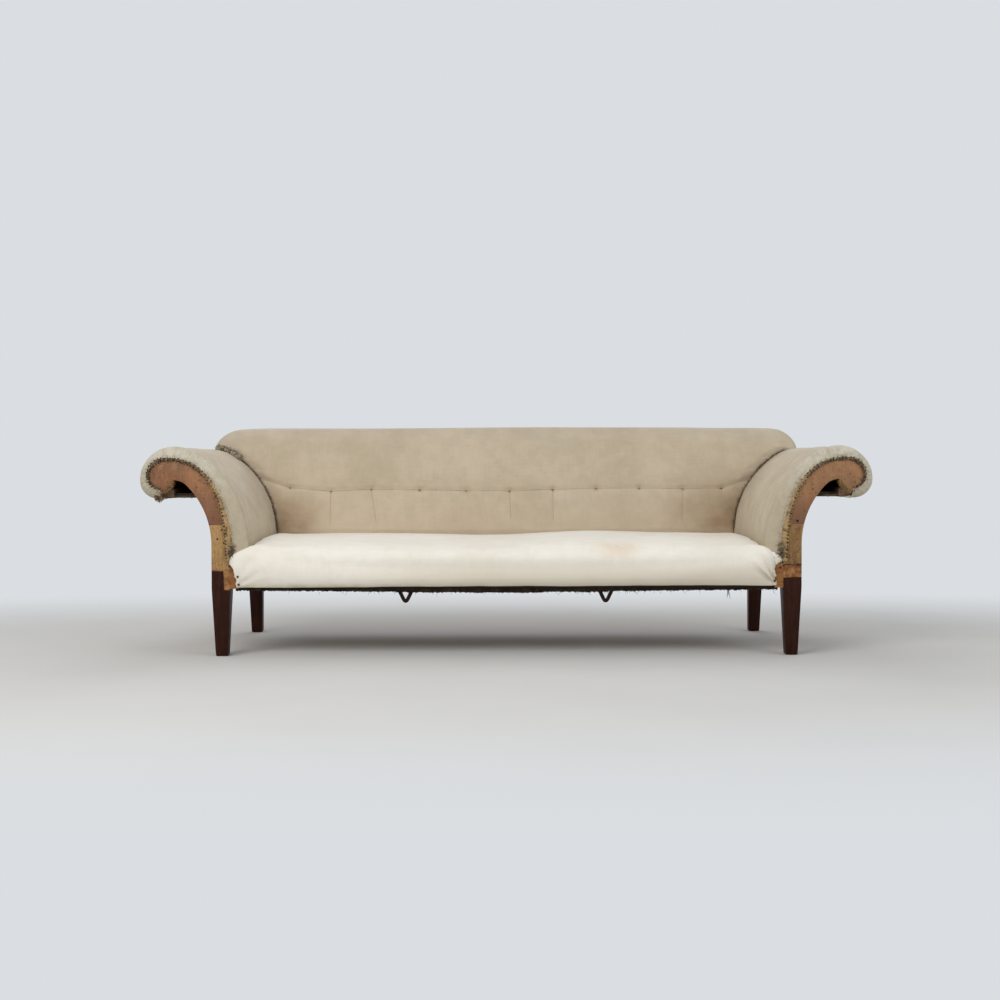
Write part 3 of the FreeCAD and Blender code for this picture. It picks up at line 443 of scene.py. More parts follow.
def wood(name, light, dark, grain=(9.0, 9.0, 1.2), roughness=0.62, figure=0.5):
    finish = Finish(name, roughness=roughness)
    board = finish.scaled(finish.place, [3 * g for g in grain])
    streak = finish.noise(board, 3.0, 8.0, 0.62, 0.6)
    fine = finish.noise(finish.scaled(finish.place, [20 * g for g in grain]), 2.0, 4.0, 0.7)
    blotch = finish.noise(finish.place, 11.0, 4.0, 0.6)
    tone = finish.ranged(streak * figure + fine * 0.25 + blotch * (0.75 - figure), 0.34, 0.66)
    finish.colour(finish.blend(tone, dark, light))
    finish.fine, finish.blotch = fine, blotch
    finish.bump(fine * 0.7 + streak * 0.6, 0.30, 0.0012)
    return finish


scroll_wood = wood("scroll_wood", (0.345, 0.150, 0.058), (0.150, 0.060, 0.024), figure=0.35)
scroll_wood.coats((scroll_wood.patches(0.60, 0.70, 62.0, 5.0, 0.7) * 0.8, (0.44, 0.245, 0.130)),
                  (scroll_wood.patches(0.55, 0.72, 14.0, 3.0) * 0.5, (0.34, 0.205, 0.085)),
                  (scroll_wood.level("X", -0.1, 0.1) * 0.22, (0.42, 0.235, 0.095)),
                  (scroll_wood.level("Z", 0.43, 0.57, 1, 0) * 0.8, (0.165, 0.066, 0.030)),
                  (scroll_wood.patches(0.645, 0.70, 115.0, 2.0, 0.5) * 0.8, (0.055, 0.024, 0.014)))

leg_wood = wood("leg_wood", (0.046, 0.013, 0.007), (0.016, 0.005, 0.003), roughness=0.45)
leg_wood.plain("Specular IOR Level", 0.10)
leg_x, leg_z = leg_wood.axis(leg_wood.place, "X").size(), leg_wood.axis(leg_wood.place, "Z")
ragged = leg_wood.noise(leg_wood.place, 40.0, 4.0) * 0.006
right_side = leg_wood.level("X", -0.1, 0.1)
line_height = leg_wood.ranged(leg_x, 0.9225, 0.9255, -0.062, 0.0) * (1 - right_side) - right_side * 0.024
bare = leg_wood.ranged(leg_z + ragged - line_height, 0.2815, 0.2845)
low_block = leg_wood.ranged(leg_z - right_side * 0.020, 0.283, 0.287, 1, 0)
block = leg_wood.blend(leg_wood.patches(0.42, 0.60, 95.0, 4.0, 0.7), (0.175, 0.062, 0.022), (0.365, 0.180, 0.070))
# A painted shadow under the patch on the right post: a dark line on the wood just below its lower edge.
patch_shadow = leg_wood.ranged(leg_z + ragged * 0.5, 0.300, 0.304, 1, 0) * leg_wood.level("Z", 0.292, 0.297)
mottle = leg_wood.ranged(leg_wood.fine * 0.5 + leg_wood.blotch * 0.5, 0.36, 0.62)
raw = leg_wood.layers((0.285, 0.165, 0.070), (mottle, (0.475, 0.290, 0.125)),
                      (leg_wood.patches(0.665, 0.72, 130.0, 2.0, 0.5) * 0.85, (0.05, 0.03, 0.02)),
                      (right_side * 0.30, (0.190, 0.100, 0.042)), (low_block * 0.85, block),
                      (patch_shadow * right_side * 0.8, (0.045, 0.026, 0.014)))
leg_wood.coats((bare, raw))
leg_wood.feed("Roughness", leg_wood.ranged(bare, 0.0, 1.0, 0.45, 0.8))

beech = (0.46, 0.30, 0.155), (0.29, 0.175, 0.085)
along_x, along_y = (1.2, 9.0, 9.0), (9.0, 1.2, 9.0)
rail_wood = wood("rail_wood", *beech, along_x, 0.8)
side_wood = wood("side_rail_wood", *beech, along_y, 0.8)
# The rails in the hollow under the scroll get a wood darker than the beech elsewhere: painted shade of the hollow.
hollow_shade_wood = wood("hollow_shade_wood", (0.330, 0.205, 0.120), (0.150, 0.090, 0.052), along_y, 0.9)
rail_end = wood("front_rail_wood", (0.365, 0.170, 0.062), (0.150, 0.056, 0.020), along_x, 0.8)
rail_end.plain("Specular IOR Level", 0.1)
beyond = rail_end.ranged(rail_end.axis(rail_end.place, "X").size(), 0.874, 0.878, 1, 0)
rail_end.coats((rail_end.level("Z", 0.232, 0.236, 1, 0) * beyond, (0.016, 0.010, 0.006)))
print("six woods")

# %% [markdown]
# Iron straps have rusted to a rough brown crust; spring wire is dull and dark; tacks are nearly black. Rust
# comes in patches, so one noise decides both its colour and its roughness.

# %% Metal


def metal(name, colour, rust, amount, roughness):
    finish = Finish(name, roughness=roughness, Metallic=0.75)
    crust = finish.patches(0.62 - amount * 0.4, 0.80 - amount * 0.4, 90.0, 6.0, 0.65)
    finish.colour(finish.blend(crust, colour, rust))
    finish.feed("Roughness", finish.ranged(crust, 0.0, 1.0, roughness, 0.9))
    finish.bump(finish.noise(finish.place, 260.0, 4.0), 0.5, 0.0008)
    return finish


strap_iron = metal("strap_iron", (0.018, 0.012, 0.010), (0.040, 0.016, 0.010), 0.6, 0.75)
spring_steel = metal("spring_wire", (0.17, 0.155, 0.14), (0.10, 0.055, 0.035), 0.4, 0.5)
tack_iron = metal("tack_iron", (0.065, 0.050, 0.042), (0.060, 0.030, 0.018), 0.5, 0.55)
print("three metals")

# %% [markdown]
# Modelling helpers. Operators act on whatever is selected, so each helper first selects its own object.

# %% Modelling helpers


def only(piece):
    bpy.ops.object.select_all(action="DESELECT")
    piece.select_set(True)
    bpy.context.view_layer.objects.active = piece


def modified(piece, kind, **settings):
    """Adds a modifier with these settings and applies it."""
    only(piece)
    modifier = piece.modifiers.new(kind.lower(), kind)
    for key, value in settings.items():
        setattr(modifier, key, value)
    bpy.ops.object.modifier_apply(modifier=modifier.name)


def edited(piece, *steps):
    """Runs operators in edit mode on everything in the mesh."""
    only(piece)
    bpy.ops.object.mode_set(mode="EDIT")
    bpy.ops.mesh.select_all(action="SELECT")
    for operator, settings in steps:
        getattr(bpy.ops.mesh, operator)(**settings)
    bpy.ops.object.mode_set(mode="OBJECT")


def copy_of(node, name):
    """A new piece with the shape of a CAD node, its loose triangles joined into clean faces."""
    piece = bpy.data.objects.new(name, nodes[node].data.copy())
    scene.collection.objects.link(piece)
    edited(piece, ("remove_doubles", {"threshold": 1e-5}),
           ("dissolve_limited", {"angle_limit": math.radians(0.5)}))
    return piece


def of_points(piece, what):
    found = np.zeros(len(piece.data.vertices) * 3)
    piece.data.vertices.foreach_get(what, found)
    return found.reshape(-1, 3)


def places(piece):
    return of_points(piece, "co")


def directions(piece):
    return of_points(piece, "normal")


def put(piece, where):
    piece.data.vertices.foreach_set("co", np.asarray(where, float).ravel())
    piece.data.update()


def lay_cloth(piece, along, across):
    """Gives a piece cloth coordinates, in metres, from two arrays with a number for each vertex."""
    corner_of = np.zeros(len(piece.data.loops), int)
    piece.data.loops.foreach_get("vertex_index", corner_of)
    both = np.stack([np.asarray(along, float), np.asarray(across, float)], axis=1)
    layer = piece.data.uv_layers.get("cloth") or piece.data.uv_layers.new(name="cloth")
    layer.data.foreach_set("uv", both[corner_of].ravel())
    piece.data.uv_layers.active = layer


def dressed(piece, finish, slot, *stands_for):
    """Smooth shading, finish and place in the frame for a finished piece."""
    only(piece)
    bpy.ops.object.shade_smooth_by_angle(angle=math.radians(40))
    piece.data.materials.clear()
    piece.data.materials.append(finish.material)
    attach(piece, "root")
    if stands_for:
        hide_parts(*stands_for)
    return piece


def smoothstep(value, low, high):
    share = np.clip((np.asarray(value, float) - low) / (high - low), 0, 1)
    return share * share * (3 - 2 * share)


def bell(value, width):
    return np.exp(-0.5 * (np.asarray(value, float) / width) ** 2)


def waver(*at):
    """Smooth noise between about -1 and 1 at one point."""
    return noise.noise(Vector(at))


def ripple(where, scale, seed):
    """The same at each of many points."""
    shift = Vector((seed * 7.3, seed * 3.1, seed * 5.7))
    return np.array([noise.noise(Vector(p) * scale + shift) for p in where])


# %% [markdown]
# The legs, scrolls and rails keep their CAD shapes. The ones that show get softened edges, because a
# sharp corner never survives a century of use.

# %% Joinery


def eased(node, finish, slot, width):
    piece = copy_of(node, node + "_worn")
    modified(piece, "BEVEL", width=width, segments=2, limit_method="ANGLE", angle_limit=math.radians(35))
    return dressed(piece, finish, slot, node)


for side, _ in both_sides:
    eased("front_leg_" + side, leg_wood, "leg_wood", 0.0016)
    eased("rear_leg_" + side, leg_wood, "leg_wood", 0.0014)
    eased("scroll_board_front_" + side, scroll_wood, "scroll_wood", 0.0022)
    eased("scroll_board_rear_" + side, rail_wood, "frame_wood", 0.0018)

finish_of = {"frame_wood": rail_wood, "webbing": web_jute, "hessian": lining_jute, "twine": twine_jute,
             "bottoming": bottom_cloth, "spring_wire": spring_steel, "strap_iron": strap_iron,
             "calico_seat": seat_calico, "calico_back": back_calico, "calico_arm": arm_calico,
             "leg_wood": leg_wood, "scroll_wood": scroll_wood}
for part in frame["record"]["subparts"]:
    node = nodes[part["node"]]
    finish = finish_of[part["material_slot"]]
    if part["node"].startswith(("arm_", "side_")) and finish is rail_wood:
        finish = side_wood
    # The rails in the hollow under the scroll take the wood with the hollow's painted shade.
    if part["node"].startswith(("arm_scroll", "arm_under", "arm_top")):
        finish = hollow_shade_wood
    if part["node"] == "front_seat_rail":
        finish = rail_end
    node.data.materials.clear()
    node.data.materials.append(finish.material)
print("joinery dressed")

# %% [markdown]
# The curve of the arm is needed again and again: for the bands, the tacks and the cloth coordinates.
# Two tangent arcs rise from upright to level, and further arcs go round the head.

# %% Arm curves
post_inner, neck_start = 0.904, 0.395
head_x, head_z, head_radius, under_radius, curl_radius = 1.122, 0.590, 0.062, 0.055, 0.042
front_y = -0.395
cloth_x, cloth_start = 0.846, 0.365
crest_x, crest_z, roll_radius, roll_under = 1.090, 0.686, 0.110, 0.059


def arc(x, z, radius, start, end, count=24):
    turn = np.radians(np.linspace(start, end, count))
    return np.stack([x + radius * np.cos(turn), z + radius * np.sin(turn)], axis=1)


def quarter_turn(start, end, turn):
    """Two tangent arcs, upright at the start and level at the end; the first turns this far."""
    across, rise = end[0] - start[0], end[1] - start[1]
    sine, cosine = math.sin(math.radians(turn)), math.cos(math.radians(turn))
    second = (across * sine - rise * (1 - cosine)) / (sine + cosine - 1)
    first = (across - second * cosine) / (1 - cosine)
    return np.concatenate([arc(start[0] + first, start[1], first, 180, 180 - turn),
                           arc(end[0], end[1] - second, second, 180 - turn, 90)])


def even(points, step):
    """The points of a line again, at even steps; returns them with the length to each."""
    length = np.concatenate([[0], np.cumsum(np.linalg.norm(np.diff(points, axis=0), axis=1))])
    at = np.linspace(0, length[-1], int(length[-1] / step) + 1)
    return np.stack([np.interp(at, length, points[:, k]) for k in (0, 1)], axis=1), at


def scroll_line(low, step=0.002):
    """The edge of post and scroll in the front view, from a height on the post to under the head."""
    line = np.concatenate([[(post_inner, low), (post_inner, neck_start)],
                           quarter_turn((post_inner, neck_start), (head_x, head_z + head_radius), 42),
                           arc(head_x, head_z, head_radius, 90, 0),
                           arc(head_x + head_radius - under_radius, head_z, under_radius, 0, -90)])
    return even(line, step)


def calico_line(step=0.002):
    """The outside of the arm's calico in the front view, from the seat over the roll."""
    line = np.concatenate([[(cloth_x, 0.335), (cloth_x, cloth_start)],
                           quarter_turn((cloth_x, cloth_start), (crest_x, crest_z), 60),
                           arc(crest_x, crest_z - roll_radius, roll_radius, 90, 0),
                           arc(1.2 - roll_under, crest_z - roll_radius, roll_under, 0, -90),
                           [(1.10, crest_z - roll_radius - roll_under)]])
    return even(line, step)


print("scroll edge", round(scroll_line(0.308)[1][-1], 3), "m; calico", round(calico_line()[1][-1], 3), "m")

# %% [markdown]
# A stuffed pad is springy hair and wadding under tight cloth. Each CAD pad is remeshed into small even
# faces, then blown up a little by a cloth simulation while its tacked parts are held. Limiting how far a
# point may go keeps the pad in its place.

# %% Stuffing


def stuffed(node, name, voxel, free, cap):
    """A pad swollen from a CAD solid by up to cap; free(points, normals) says which points may move."""
    frames, pressure = 12, 4.0
    pad = copy_of(node, name)
    modified(pad, "REMESH", mode="VOXEL", voxel_size=voxel, use_smooth_shade=True)
    before = places(pad)
    loose = free(before, directions(pad))
    held = pad.vertex_groups.new(name="held")
    held.add([int(i) for i in np.nonzero(~loose)[0]], 1.0, "REPLACE")
    cloth = pad.modifiers.new("cloth", "CLOTH")
    cloth.settings.use_pressure = True
    cloth.settings.uniform_pressure_force = pressure
    cloth.settings.effector_weights.gravity = 0
    cloth.settings.vertex_group_mass = "held"
    cloth.settings.quality = 3
    cloth.point_cache.frame_end = frames
    for step in range(1, frames + 1):
        scene.frame_set(step)
    only(pad)
    bpy.ops.object.modifier_apply(modifier="cloth")
    scene.frame_set(1)
    pad.vertex_groups.clear()
    moved = places(pad) - before
    length = np.linalg.norm(moved, axis=1, keepdims=True)
    put(pad, before + moved * np.minimum(1, cap / np.maximum(length, 1e-9)))
    print(name, len(before), "points, moved up to", round(float(length.max()), 4))
    modified(pad, "SUBSURF", levels=1, render_levels=1)
    return pad


# %% [markdown]
# The back is one long pad. Eleven stab stitches pull its calico in along a line above the seat, a crease
# runs from stitch to stitch, and slack cloth falls in faint pulls below some of them.

# %% Back


def on_back(where):
    """Height along the lean, and depth behind the front of the back frame."""
    behind, above = where[:, 1] - back_y, where[:, 2] - seat_z
    return (above * math.cos(lean) + behind * math.sin(lean), behind * math.cos(lean) - above * math.sin(lean))


def back_free(where, normal):
    up, deep = on_back(where)
    front = (normal[:, 1] < -0.3) | ((normal[:, 2] > 0.5) & (up > 0.4))
    return front & (up > 0.06) & (np.abs(where[:, 0]) < 1.09)


back_cover = stuffed("back_pad", "back_cover", 0.0085, back_free, 0.007)
where = places(back_cover)
up, deep = on_back(where)
facing = smoothstep(-directions(back_cover)[:, 1], 0.3, 0.8)
x = where[:, 0]

# Each stitch pulls in a dimple, and slack cloth falls in a fold below some of them.
pull = np.zeros(len(x))
for i, at in enumerate(tuft_x):
    away = np.hypot((x - at) * 0.7, up - tuft_up[i])
    pull += 0.0060 * bell(away, 0.007) + 0.0030 * bell(away, 0.026)
    reach = pull_reach.get(i, 0.0)
    below = smoothstep(tuft_rise - up, 0.0, 0.02) * (1 - smoothstep(tuft_rise - up, reach - 0.02, reach + 0.02))
    slack = 0.0030 * (reach > 0) * below
    pull += slack * bell(x - at - pull_slant.get(i, 0.0) * (tuft_rise - up), 0.0055)

# A crease joins the stitches between the arms, and the whole surface is a little uneven.
inside = 1 - smoothstep(np.abs(x), 0.90, 0.95)
crease = up - np.interp(x, tuft_x, tuft_up) - crease_rise * np.maximum(0, np.abs(x) - crease_end)
pull += inside * (0.0042 * bell(crease, 0.006) + 0.0030 * bell(crease, 0.022))
pull += 0.0016 * ripple(where, 5.0, 1) + 0.0008 * ripple(where, 16.0, 2)
inward = np.array([0, math.cos(lean), -math.sin(lean)])

# The upper corners are rounded, and the top edge rises a little in the middle.
corner_x, corner_z = 1.103, 0.768
apex = bell(np.hypot(np.abs(x) - corner_x, where[:, 2] - corner_z), 0.075) * np.where(x < 0, 0.024, 0.016)
apex *= 1 - 0.45 * smoothstep(deep, -0.03, -0.004)
rounded = apex[:, None] * np.stack([-np.sign(x) * 0.75, 0 * x, 0 * x - 0.66], axis=1)
crest = smoothstep(up, 0.30, 0.45)[:, None] * np.array([0, 0, 1])
sway = (0.007 * bell(x - 0.12, 0.45) - 0.003 * bell(x - 0.85, 0.1))[:, None]
put(back_cover, where + (pull * facing)[:, None] * inward + crest * sway + rounded)
lay_cloth(back_cover, x, up + np.where(directions(back_cover)[:, 1] > 0.5, deep, 0))
dressed(back_cover, back_calico, "calico_back", "back_pad")

# %% [markdown]
# The seat is sprung and tightly stuffed, with a rolled front edge. Its calico is newer than the rest. It
# was cut by eye at both ends, where it is drawn round the posts and tacked.

# %% Seat


def seat_free(where, normal):
    x, y, z = np.abs(where[:, 0]), where[:, 1], where[:, 2]
    top = (normal[:, 2] > 0.4) & (y < 0.20) & (x < 0.835) & (z > 0.33)
    front = (normal[:, 1] < -0.3) & (y < -0.33) & (x < 0.87) & (z > 0.228)
    return top | front


seat_cover = stuffed("seat_pad", "seat_cover", 0.009, seat_free, 0.007)
modified(seat_cover, "SMOOTH", factor=0.5, iterations=14)
where = places(seat_cover)
normal = directions(seat_cover)
x, y, z = where.T
end = np.abs(x)
left = x < 0
front = smoothstep(-y, 0.36, 0.39)

# The top sinks at both ends and has a hump right of the middle; the lower edge isn't straight either.
moved = np.zeros_like(where)
moved[:, 2] -= 0.012 * smoothstep(end, 0.78, 0.90) * smoothstep(z, 0.30, 0.35)
moved[:, 2] -= 0.004 * smoothstep(end, 0.55, 0.85) * smoothstep(z, 0.34, 0.37)
moved[:, 2] += (0.008 * bell(x - 0.30, 0.14) - 0.007 * bell(x + 0.04, 0.16)) * smoothstep(z, 0.33, 0.36)
raised = 0.0045 * bell(x - 0.05, 0.45) + 0.0035 * smoothstep(x, 0.2, 0.6) - 0.001
moved[:, 2] += raised * (1 - smoothstep(z, 0.220, 0.262)) * smoothstep(-y, 0.385, 0.396)
moved[:, 2] += np.where(left, 0.014, 0.012) * bell(end - 0.842, 0.036) * smoothstep(z, 0.28, 0.32)

# The cut ends in front are ragged, and reach out in two tongues.
corner = smoothstep(end, 0.85, 0.88) * smoothstep(-y, 0.392, 0.397)
jagged = 0.003 * np.array([waver(0, 0, h * 90 + sgn) for h, sgn in zip(z, np.sign(x))])
tongues = np.where(left, 0.004, -0.007) + jagged + np.where(left, 0.013, 0.005) * bell(z - 0.306, 0.022)
tongues += np.where(left, 0.0, 0.010) * bell(z - 0.228, 0.014)
moved[:, 0] += np.sign(x) * corner * tongues

# Creases fan out from the lower corners, where the cloth is drawn tight.
slack = 0.0014 * ripple(where, 11.0, 8) * smoothstep(x, 0.10, 0.45)
outward = 0.0012 * ripple(where, 6.0, 3) + 0.0006 * ripple(where, 19.0, 4)
fan_x, fan_z = end - 0.905, z - 0.215
fan = np.arctan2(fan_z, -fan_x)
reach = np.hypot(fan_x, fan_z)
creased = np.cos(fan * 17.0) ** 3 * smoothstep(reach, 0.02, 0.05) * (1 - smoothstep(reach, 0.09, 0.17))
creased *= np.where(x > 0, smoothstep(fan, 0.45, 0.75), 1.0)
outward += front * creased * np.where(x > 0, 0.0080, 0.0014)
outward -= front * 0.004 * smoothstep(end, 0.86, 0.90)
outward += front * slack
put(seat_cover, where + moved + normal * outward[:, None])
lay_cloth(seat_cover, x, np.where(normal[:, 2] > 0.7, y, -0.39 - (0.36 - z)))
dressed(seat_cover, seat_calico, "calico_seat", "seat_pad")

# %% [markdown]
# Each arm is a roll of stuffing over the scroll boards. Its calico is pleated round the head of the
# scroll, where a flat cloth has to go round a curve.

# %% Arms


def arm_free(where, normal):
    """The cloth is free over the roll and down to the seat, but not near its tacked front and rear ends."""
    x, y, z = np.abs(where[:, 0]), where[:, 1], where[:, 2]
    inner = (x < crest_x) & (normal[:, 2] > -0.2) & (z > 0.39)
    roll = (x >= crest_x) & (np.hypot(x - crest_x, z - crest_z + roll_radius) > 0.09)
    return (inner | roll) & (y > -0.365) & (y < 0.20)


def arm_cover(side, sign):
    arm = stuffed("arm_pad_" + side, "arm_cover_" + side, 0.0075, arm_free, 0.005)

    # The lower front corner reaches down behind the seat.
    where = places(arm)
    x, y, z = where.T
    lowest = (1 - smoothstep(z, 0.357, 0.40)) * (1 - smoothstep(y, -0.37, -0.30))
    z -= lowest * (0.017 + 0.010 * smoothstep(np.abs(x), 0.86, 0.90))
    put(arm, where)
    where = places(arm)
    x, y, z = where.T
    normal = directions(arm)

    # Pleats round the head, and a few slack folds that run down the inside at a slant.
    line, length = calico_line(0.004)
    nearest = [int(((line - p) ** 2).sum(1).argmin()) for p in np.stack([np.abs(x), z], axis=1)]
    round_it = length[nearest]
    edge = 1 - smoothstep(y, -0.385, -0.32)
    head = smoothstep(round_it, 0.30, 0.42)
    pleats = np.sin(round_it * 330.0 + 2.0 * np.sin(round_it * 61.0)) * edge * head
    outward = 0.0016 * pleats + 0.0012 * ripple(where, 7.0, 5 + sign) + 0.0006 * ripple(where, 22.0, 9)
    slope = round_it - 0.30 - 0.55 * (y + 0.39)
    along = smoothstep(y, -0.39, -0.34), 1 - smoothstep(y, -0.15, 0.05)
    for shift, deep in ((0.0, 0.0022), (0.045, 0.0014), (-0.06, 0.0016)):
        outward += deep * bell(slope - shift, 0.011) * along[0] * along[1]
    outward += 0.0010 * np.sin(y * 55 + sign) * bell(round_it - 0.13, 0.06)
    skin = 1 - smoothstep(np.abs(normal[:, 1]), 0.6, 0.9)
    behind_rim = 0.0030 * (1 - smoothstep(y, -0.372, -0.350))
    put(arm, where + normal * (outward * skin - behind_rim)[:, None])
    lay_cloth(arm, y, round_it)
    dressed(arm, arm_calico, "calico_arm", "arm_pad_" + side)


for side, sign in both_sides:
    arm_cover(side, sign)

# %% [markdown]
# A band of hessian is tacked over the raw edge of the wood, from the seat up and round the head. It is
# built as a grid laid along the scroll's edge, with ragged sides, then given its thickness.

# %% Bands


def laid_cloth(name, finish, slot, size, counts, lay, rests_on, *stands_for, held="stretched", thick=0.0009):
    """A cloth of this (length, width): a grid whose point at (u, v), each from 0 to 1, goes to lay(u, v)."""
    bpy.ops.object.select_all(action="DESELECT")
    bpy.ops.mesh.primitive_grid_add(x_subdivisions=counts[0], y_subdivisions=counts[1], size=1)
    piece = bpy.context.object
    piece.name = name
    flat = places(piece) + 0.5
    put(piece, [lay(u, v) for u, v, _ in flat])
    lay_cloth(piece, flat[:, 0] * size[0], flat[:, 1] * size[1])
    modified(piece, "SOLIDIFY", thickness=thick, offset=0.0)
    edited(piece, ("normals_make_consistent", {"inside": False}))
    dressed(piece, finish, slot, *stands_for)


def measured(at, pairs):
    """A width that changes along the scroll, from (length, width) pairs."""
    return float(np.interp(at, [a for a, _ in pairs], [b for _, b in pairs]))


band_low, above_band = 0.308, 0.026
band_out = [(0.00, 0.016), (0.09, 0.010), (0.14, 0.004), (0.19, 0.002), (0.27, 0.007), (0.37, 0.008),
            (0.42, 0.004), (0.50, -0.003), (0.58, -0.008), (0.68, -0.006)]
band_in = [(0.00, 0.013), (0.12, 0.020), (0.19, 0.016), (0.26, 0.010), (0.38, 0.007), (0.43, 0.011),
           (0.50, 0.020), (0.56, 0.021), (0.68, 0.015)]


class ScrollEdge:
    """The scroll's edge with its outward direction, and the way out to the calico, at each step along it."""

    def __init__(self, low):
        self.line, self.length = scroll_line(low)
        self.total = self.length[-1]
        run = np.gradient(self.line, axis=0)
        run /= np.linalg.norm(run, axis=1, keepdims=True)
        self.out = np.stack([-run[:, 1], run[:, 0]], axis=1)
        skin = calico_line()[0]
        self.cover = []
        for point, out, along in zip(self.line, self.out, run):
            away = skin - point
            off = np.abs(away @ along) + 10 * ((away @ out < 0.002) | (away @ out > 0.1))
            self.cover.append(float((away @ out)[off.argmin()]))

    def at(self, length, outward):
        """The (x, z) place this far along and outward, and the thickness of the stuffing there."""
        k = min(max(int(length / self.length[1]), 0), len(self.line) - 1)
        return self.line[k] + self.out[k] * outward, self.cover[k]


def hessian_band(side, sign):
    edge = ScrollEdge(band_low)
    rng = random.Random(11 + sign)
    ragged = [[rng.uniform(-1, 1) for _ in range(400)] for _ in range(2)]

    def lay(u, v):
        at = u * edge.total
        inner, outer = -measured(at, band_in), measured(at, band_out)
        across = inner + (outer - inner) * v
        across += 0.0018 * ragged[int(v > 0.5)][int(u * 399)] * abs(2 * v - 1) ** 3
        across += 0.0022 * waver(at * 45, v, 4 + sign)
        (px, pz), _ = edge.at(at, across)
        lump = 0.0016 * abs(waver(at * 70, v * 4, sign))
        lump += 0.0010 * abs(waver(at * 160, v * 7, sign))
        return sign * px, front_y - 0.0012 - 0.0018 * math.sin(math.pi * v) - lump, pz

    laid_cloth("hessian_band_" + side, band_jute, "hessian", (edge.total, 0.028), (int(edge.total / 0.0022), 12), lay,
               ["scroll_board_front_" + side + "_worn"], "facing_band_" + side, thick=0.0011)


for side, sign in both_sides:
    hessian_band(side, sign)

# %% [markdown]
# The calico of the arm is turned over the front edge of the stuffing and tacked beside the hessian. A flat
# cloth can't go round the head without pleats, so they radiate from it.

# %% Turned calico


def turned_calico(side, sign):
    edge = ScrollEdge(band_low + above_band)
    rng = random.Random(5 + sign)
    ragged = [rng.uniform(-1, 1) for _ in range(300)]

    def lay(u, v):
        at = u * edge.total
        along_band = at + above_band
        inner = measured(along_band, band_out) - 0.003 + 0.0016 * ragged[int(u * 299)] * (1 - v) ** 4
        _, cover = edge.at(at, 0)
        turn = v * math.pi / 2
        head = float(smoothstep(at, 0.26, 0.40))
        wave = math.sin(at * 440 + 1.5 * math.sin(at * 57 + sign)) * (0.35 + 0.65 * abs(math.sin(at * 97 + 1)))
        pleat = 0.0011 * head * wave * math.sin(math.pi * min(1, v * 1.1 + 0.05))
        if sign > 0:
            pleat += 0.0036 * math.sin(at * 420) * float(bell(at - 0.375, 0.026)) * math.sin(math.pi * v * 0.95)
        pleat += 0.0012 * waver(at * 20, v, sign)
        outward = inner + (cover + 0.0006 - inner) * math.sin(turn) + pleat * math.sin(turn)
        (px, pz), _ = edge.at(at, outward)
        back_by = 0.012 + 0.020 * float(smoothstep(at, 0.16, 0.34))
        depth = -0.0021 - 0.0015 * (1 - v) + back_by * (1 - math.cos(turn)) - pleat * math.cos(turn)
        return sign * px, front_y + depth, pz

    laid_cloth("turned_calico_" + side, folded_calico, "calico_arm", (edge.total, 0.05),
               (int(edge.total / 0.0025), 14), lay, ["arm_cover_" + side, "hessian_band_" + side])


for side, sign in both_sides:
    turned_calico(side, sign)

# %% [markdown]
# Tacks, threads and springs are each modelled once and strewn: many turned and scaled copies in one mesh.
# Hundreds of separate objects would be slow.

# %% Strewing


def joined(name, shapes):
    """One piece from many shapes, each a list of points and a list of faces."""
    points, faces = [], []
    for more, walls in shapes:
        faces += [[len(points) + k for k in face] for face in walls]
        points += more
    mesh = bpy.data.meshes.new(name)
    mesh.from_pydata([tuple(p) for p in points], [], faces)
    piece = bpy.data.objects.new(name, mesh)
    scene.collection.objects.link(piece)
    return piece


def strewn(name, shape, spots):
    """Copies of a shape at each (place, way up, scale, spin), joined in one piece."""
    points, faces = shape
    copies = []
    for place, upward, scale, spin in spots:
        turn = Vector(upward).to_track_quat("Z", "Y").to_matrix() @ Matrix.Rotation(spin, 3, "Z")
        copies.append(([Vector(place) + turn @ (Vector(p) * scale) for p in points], faces))
    return joined(name, copies)


def circle(sides):
    return [(math.cos(2 * math.pi * k / sides), math.sin(2 * math.pi * k / sides)) for k in range(sides)]


def wall(low, high, sides):
    """The faces between two rings of points, given the first point of each."""
    return [(low + k, low + (k + 1) % sides, high + (k + 1) % sides, high + k) for k in range(sides)]


def turned(profile, sides):
    """A closed turned shape from (radius, height) pairs; both ends are points on the axis."""
    points = [(0, 0, profile[0][1])]
    for radius, height in profile[1:-1]:
        points += [(radius * c, radius * s, height) for c, s in circle(sides)]
    points.append((0, 0, profile[-1][1]))
    last = len(points) - 1
    faces = [(0, 1 + (k + 1) % sides, 1 + k) for k in range(sides)]
    for ring in range(len(profile) - 3):
        faces += wall(1 + ring * sides, 1 + (ring + 1) * sides, sides)
    faces += [(last, last - sides + k, last - sides + (k + 1) % sides) for k in range(sides)]
    return points, faces


def swept(path, radii, sides):
    """A tube of changing radius along a row of points, closed at both ends."""
    path = [Vector(p) for p in path]
    points, faces = [], []
    for k, point in enumerate(path):
        ahead = (path[min(k + 1, len(path) - 1)] - path[max(k - 1, 0)]).normalized()
        turn = ahead.to_track_quat("Z", "Y").to_matrix()
        points += [point + turn @ Vector((radii[k] * c, radii[k] * s, 0)) for c, s in circle(sides)]
    for k in range(len(path) - 1):
        faces += wall(k * sides, (k + 1) * sides, sides)
    faces += [tuple(range(sides))[::-1], tuple(range(len(points) - sides, len(points)))]
    return points, faces


def tubes(name, paths, sides):
    """One piece of many tubes, from (path, radii) pairs."""
    return joined(name, [swept(path, radii, sides) for path, radii in paths])


def spray(rng, spread, ahead):
    """A direction along Y that strays at random in X and Z."""
    return Vector((rng.uniform(-spread, spread), ahead, rng.uniform(-spread, spread)))


tack = turned([(0, -0.0006), (0.0026, -0.0004), (0.0030, 0.0002), (0.0024, 0.0011), (0.0012, 0.0016),
               (0, 0.0018)], 8)


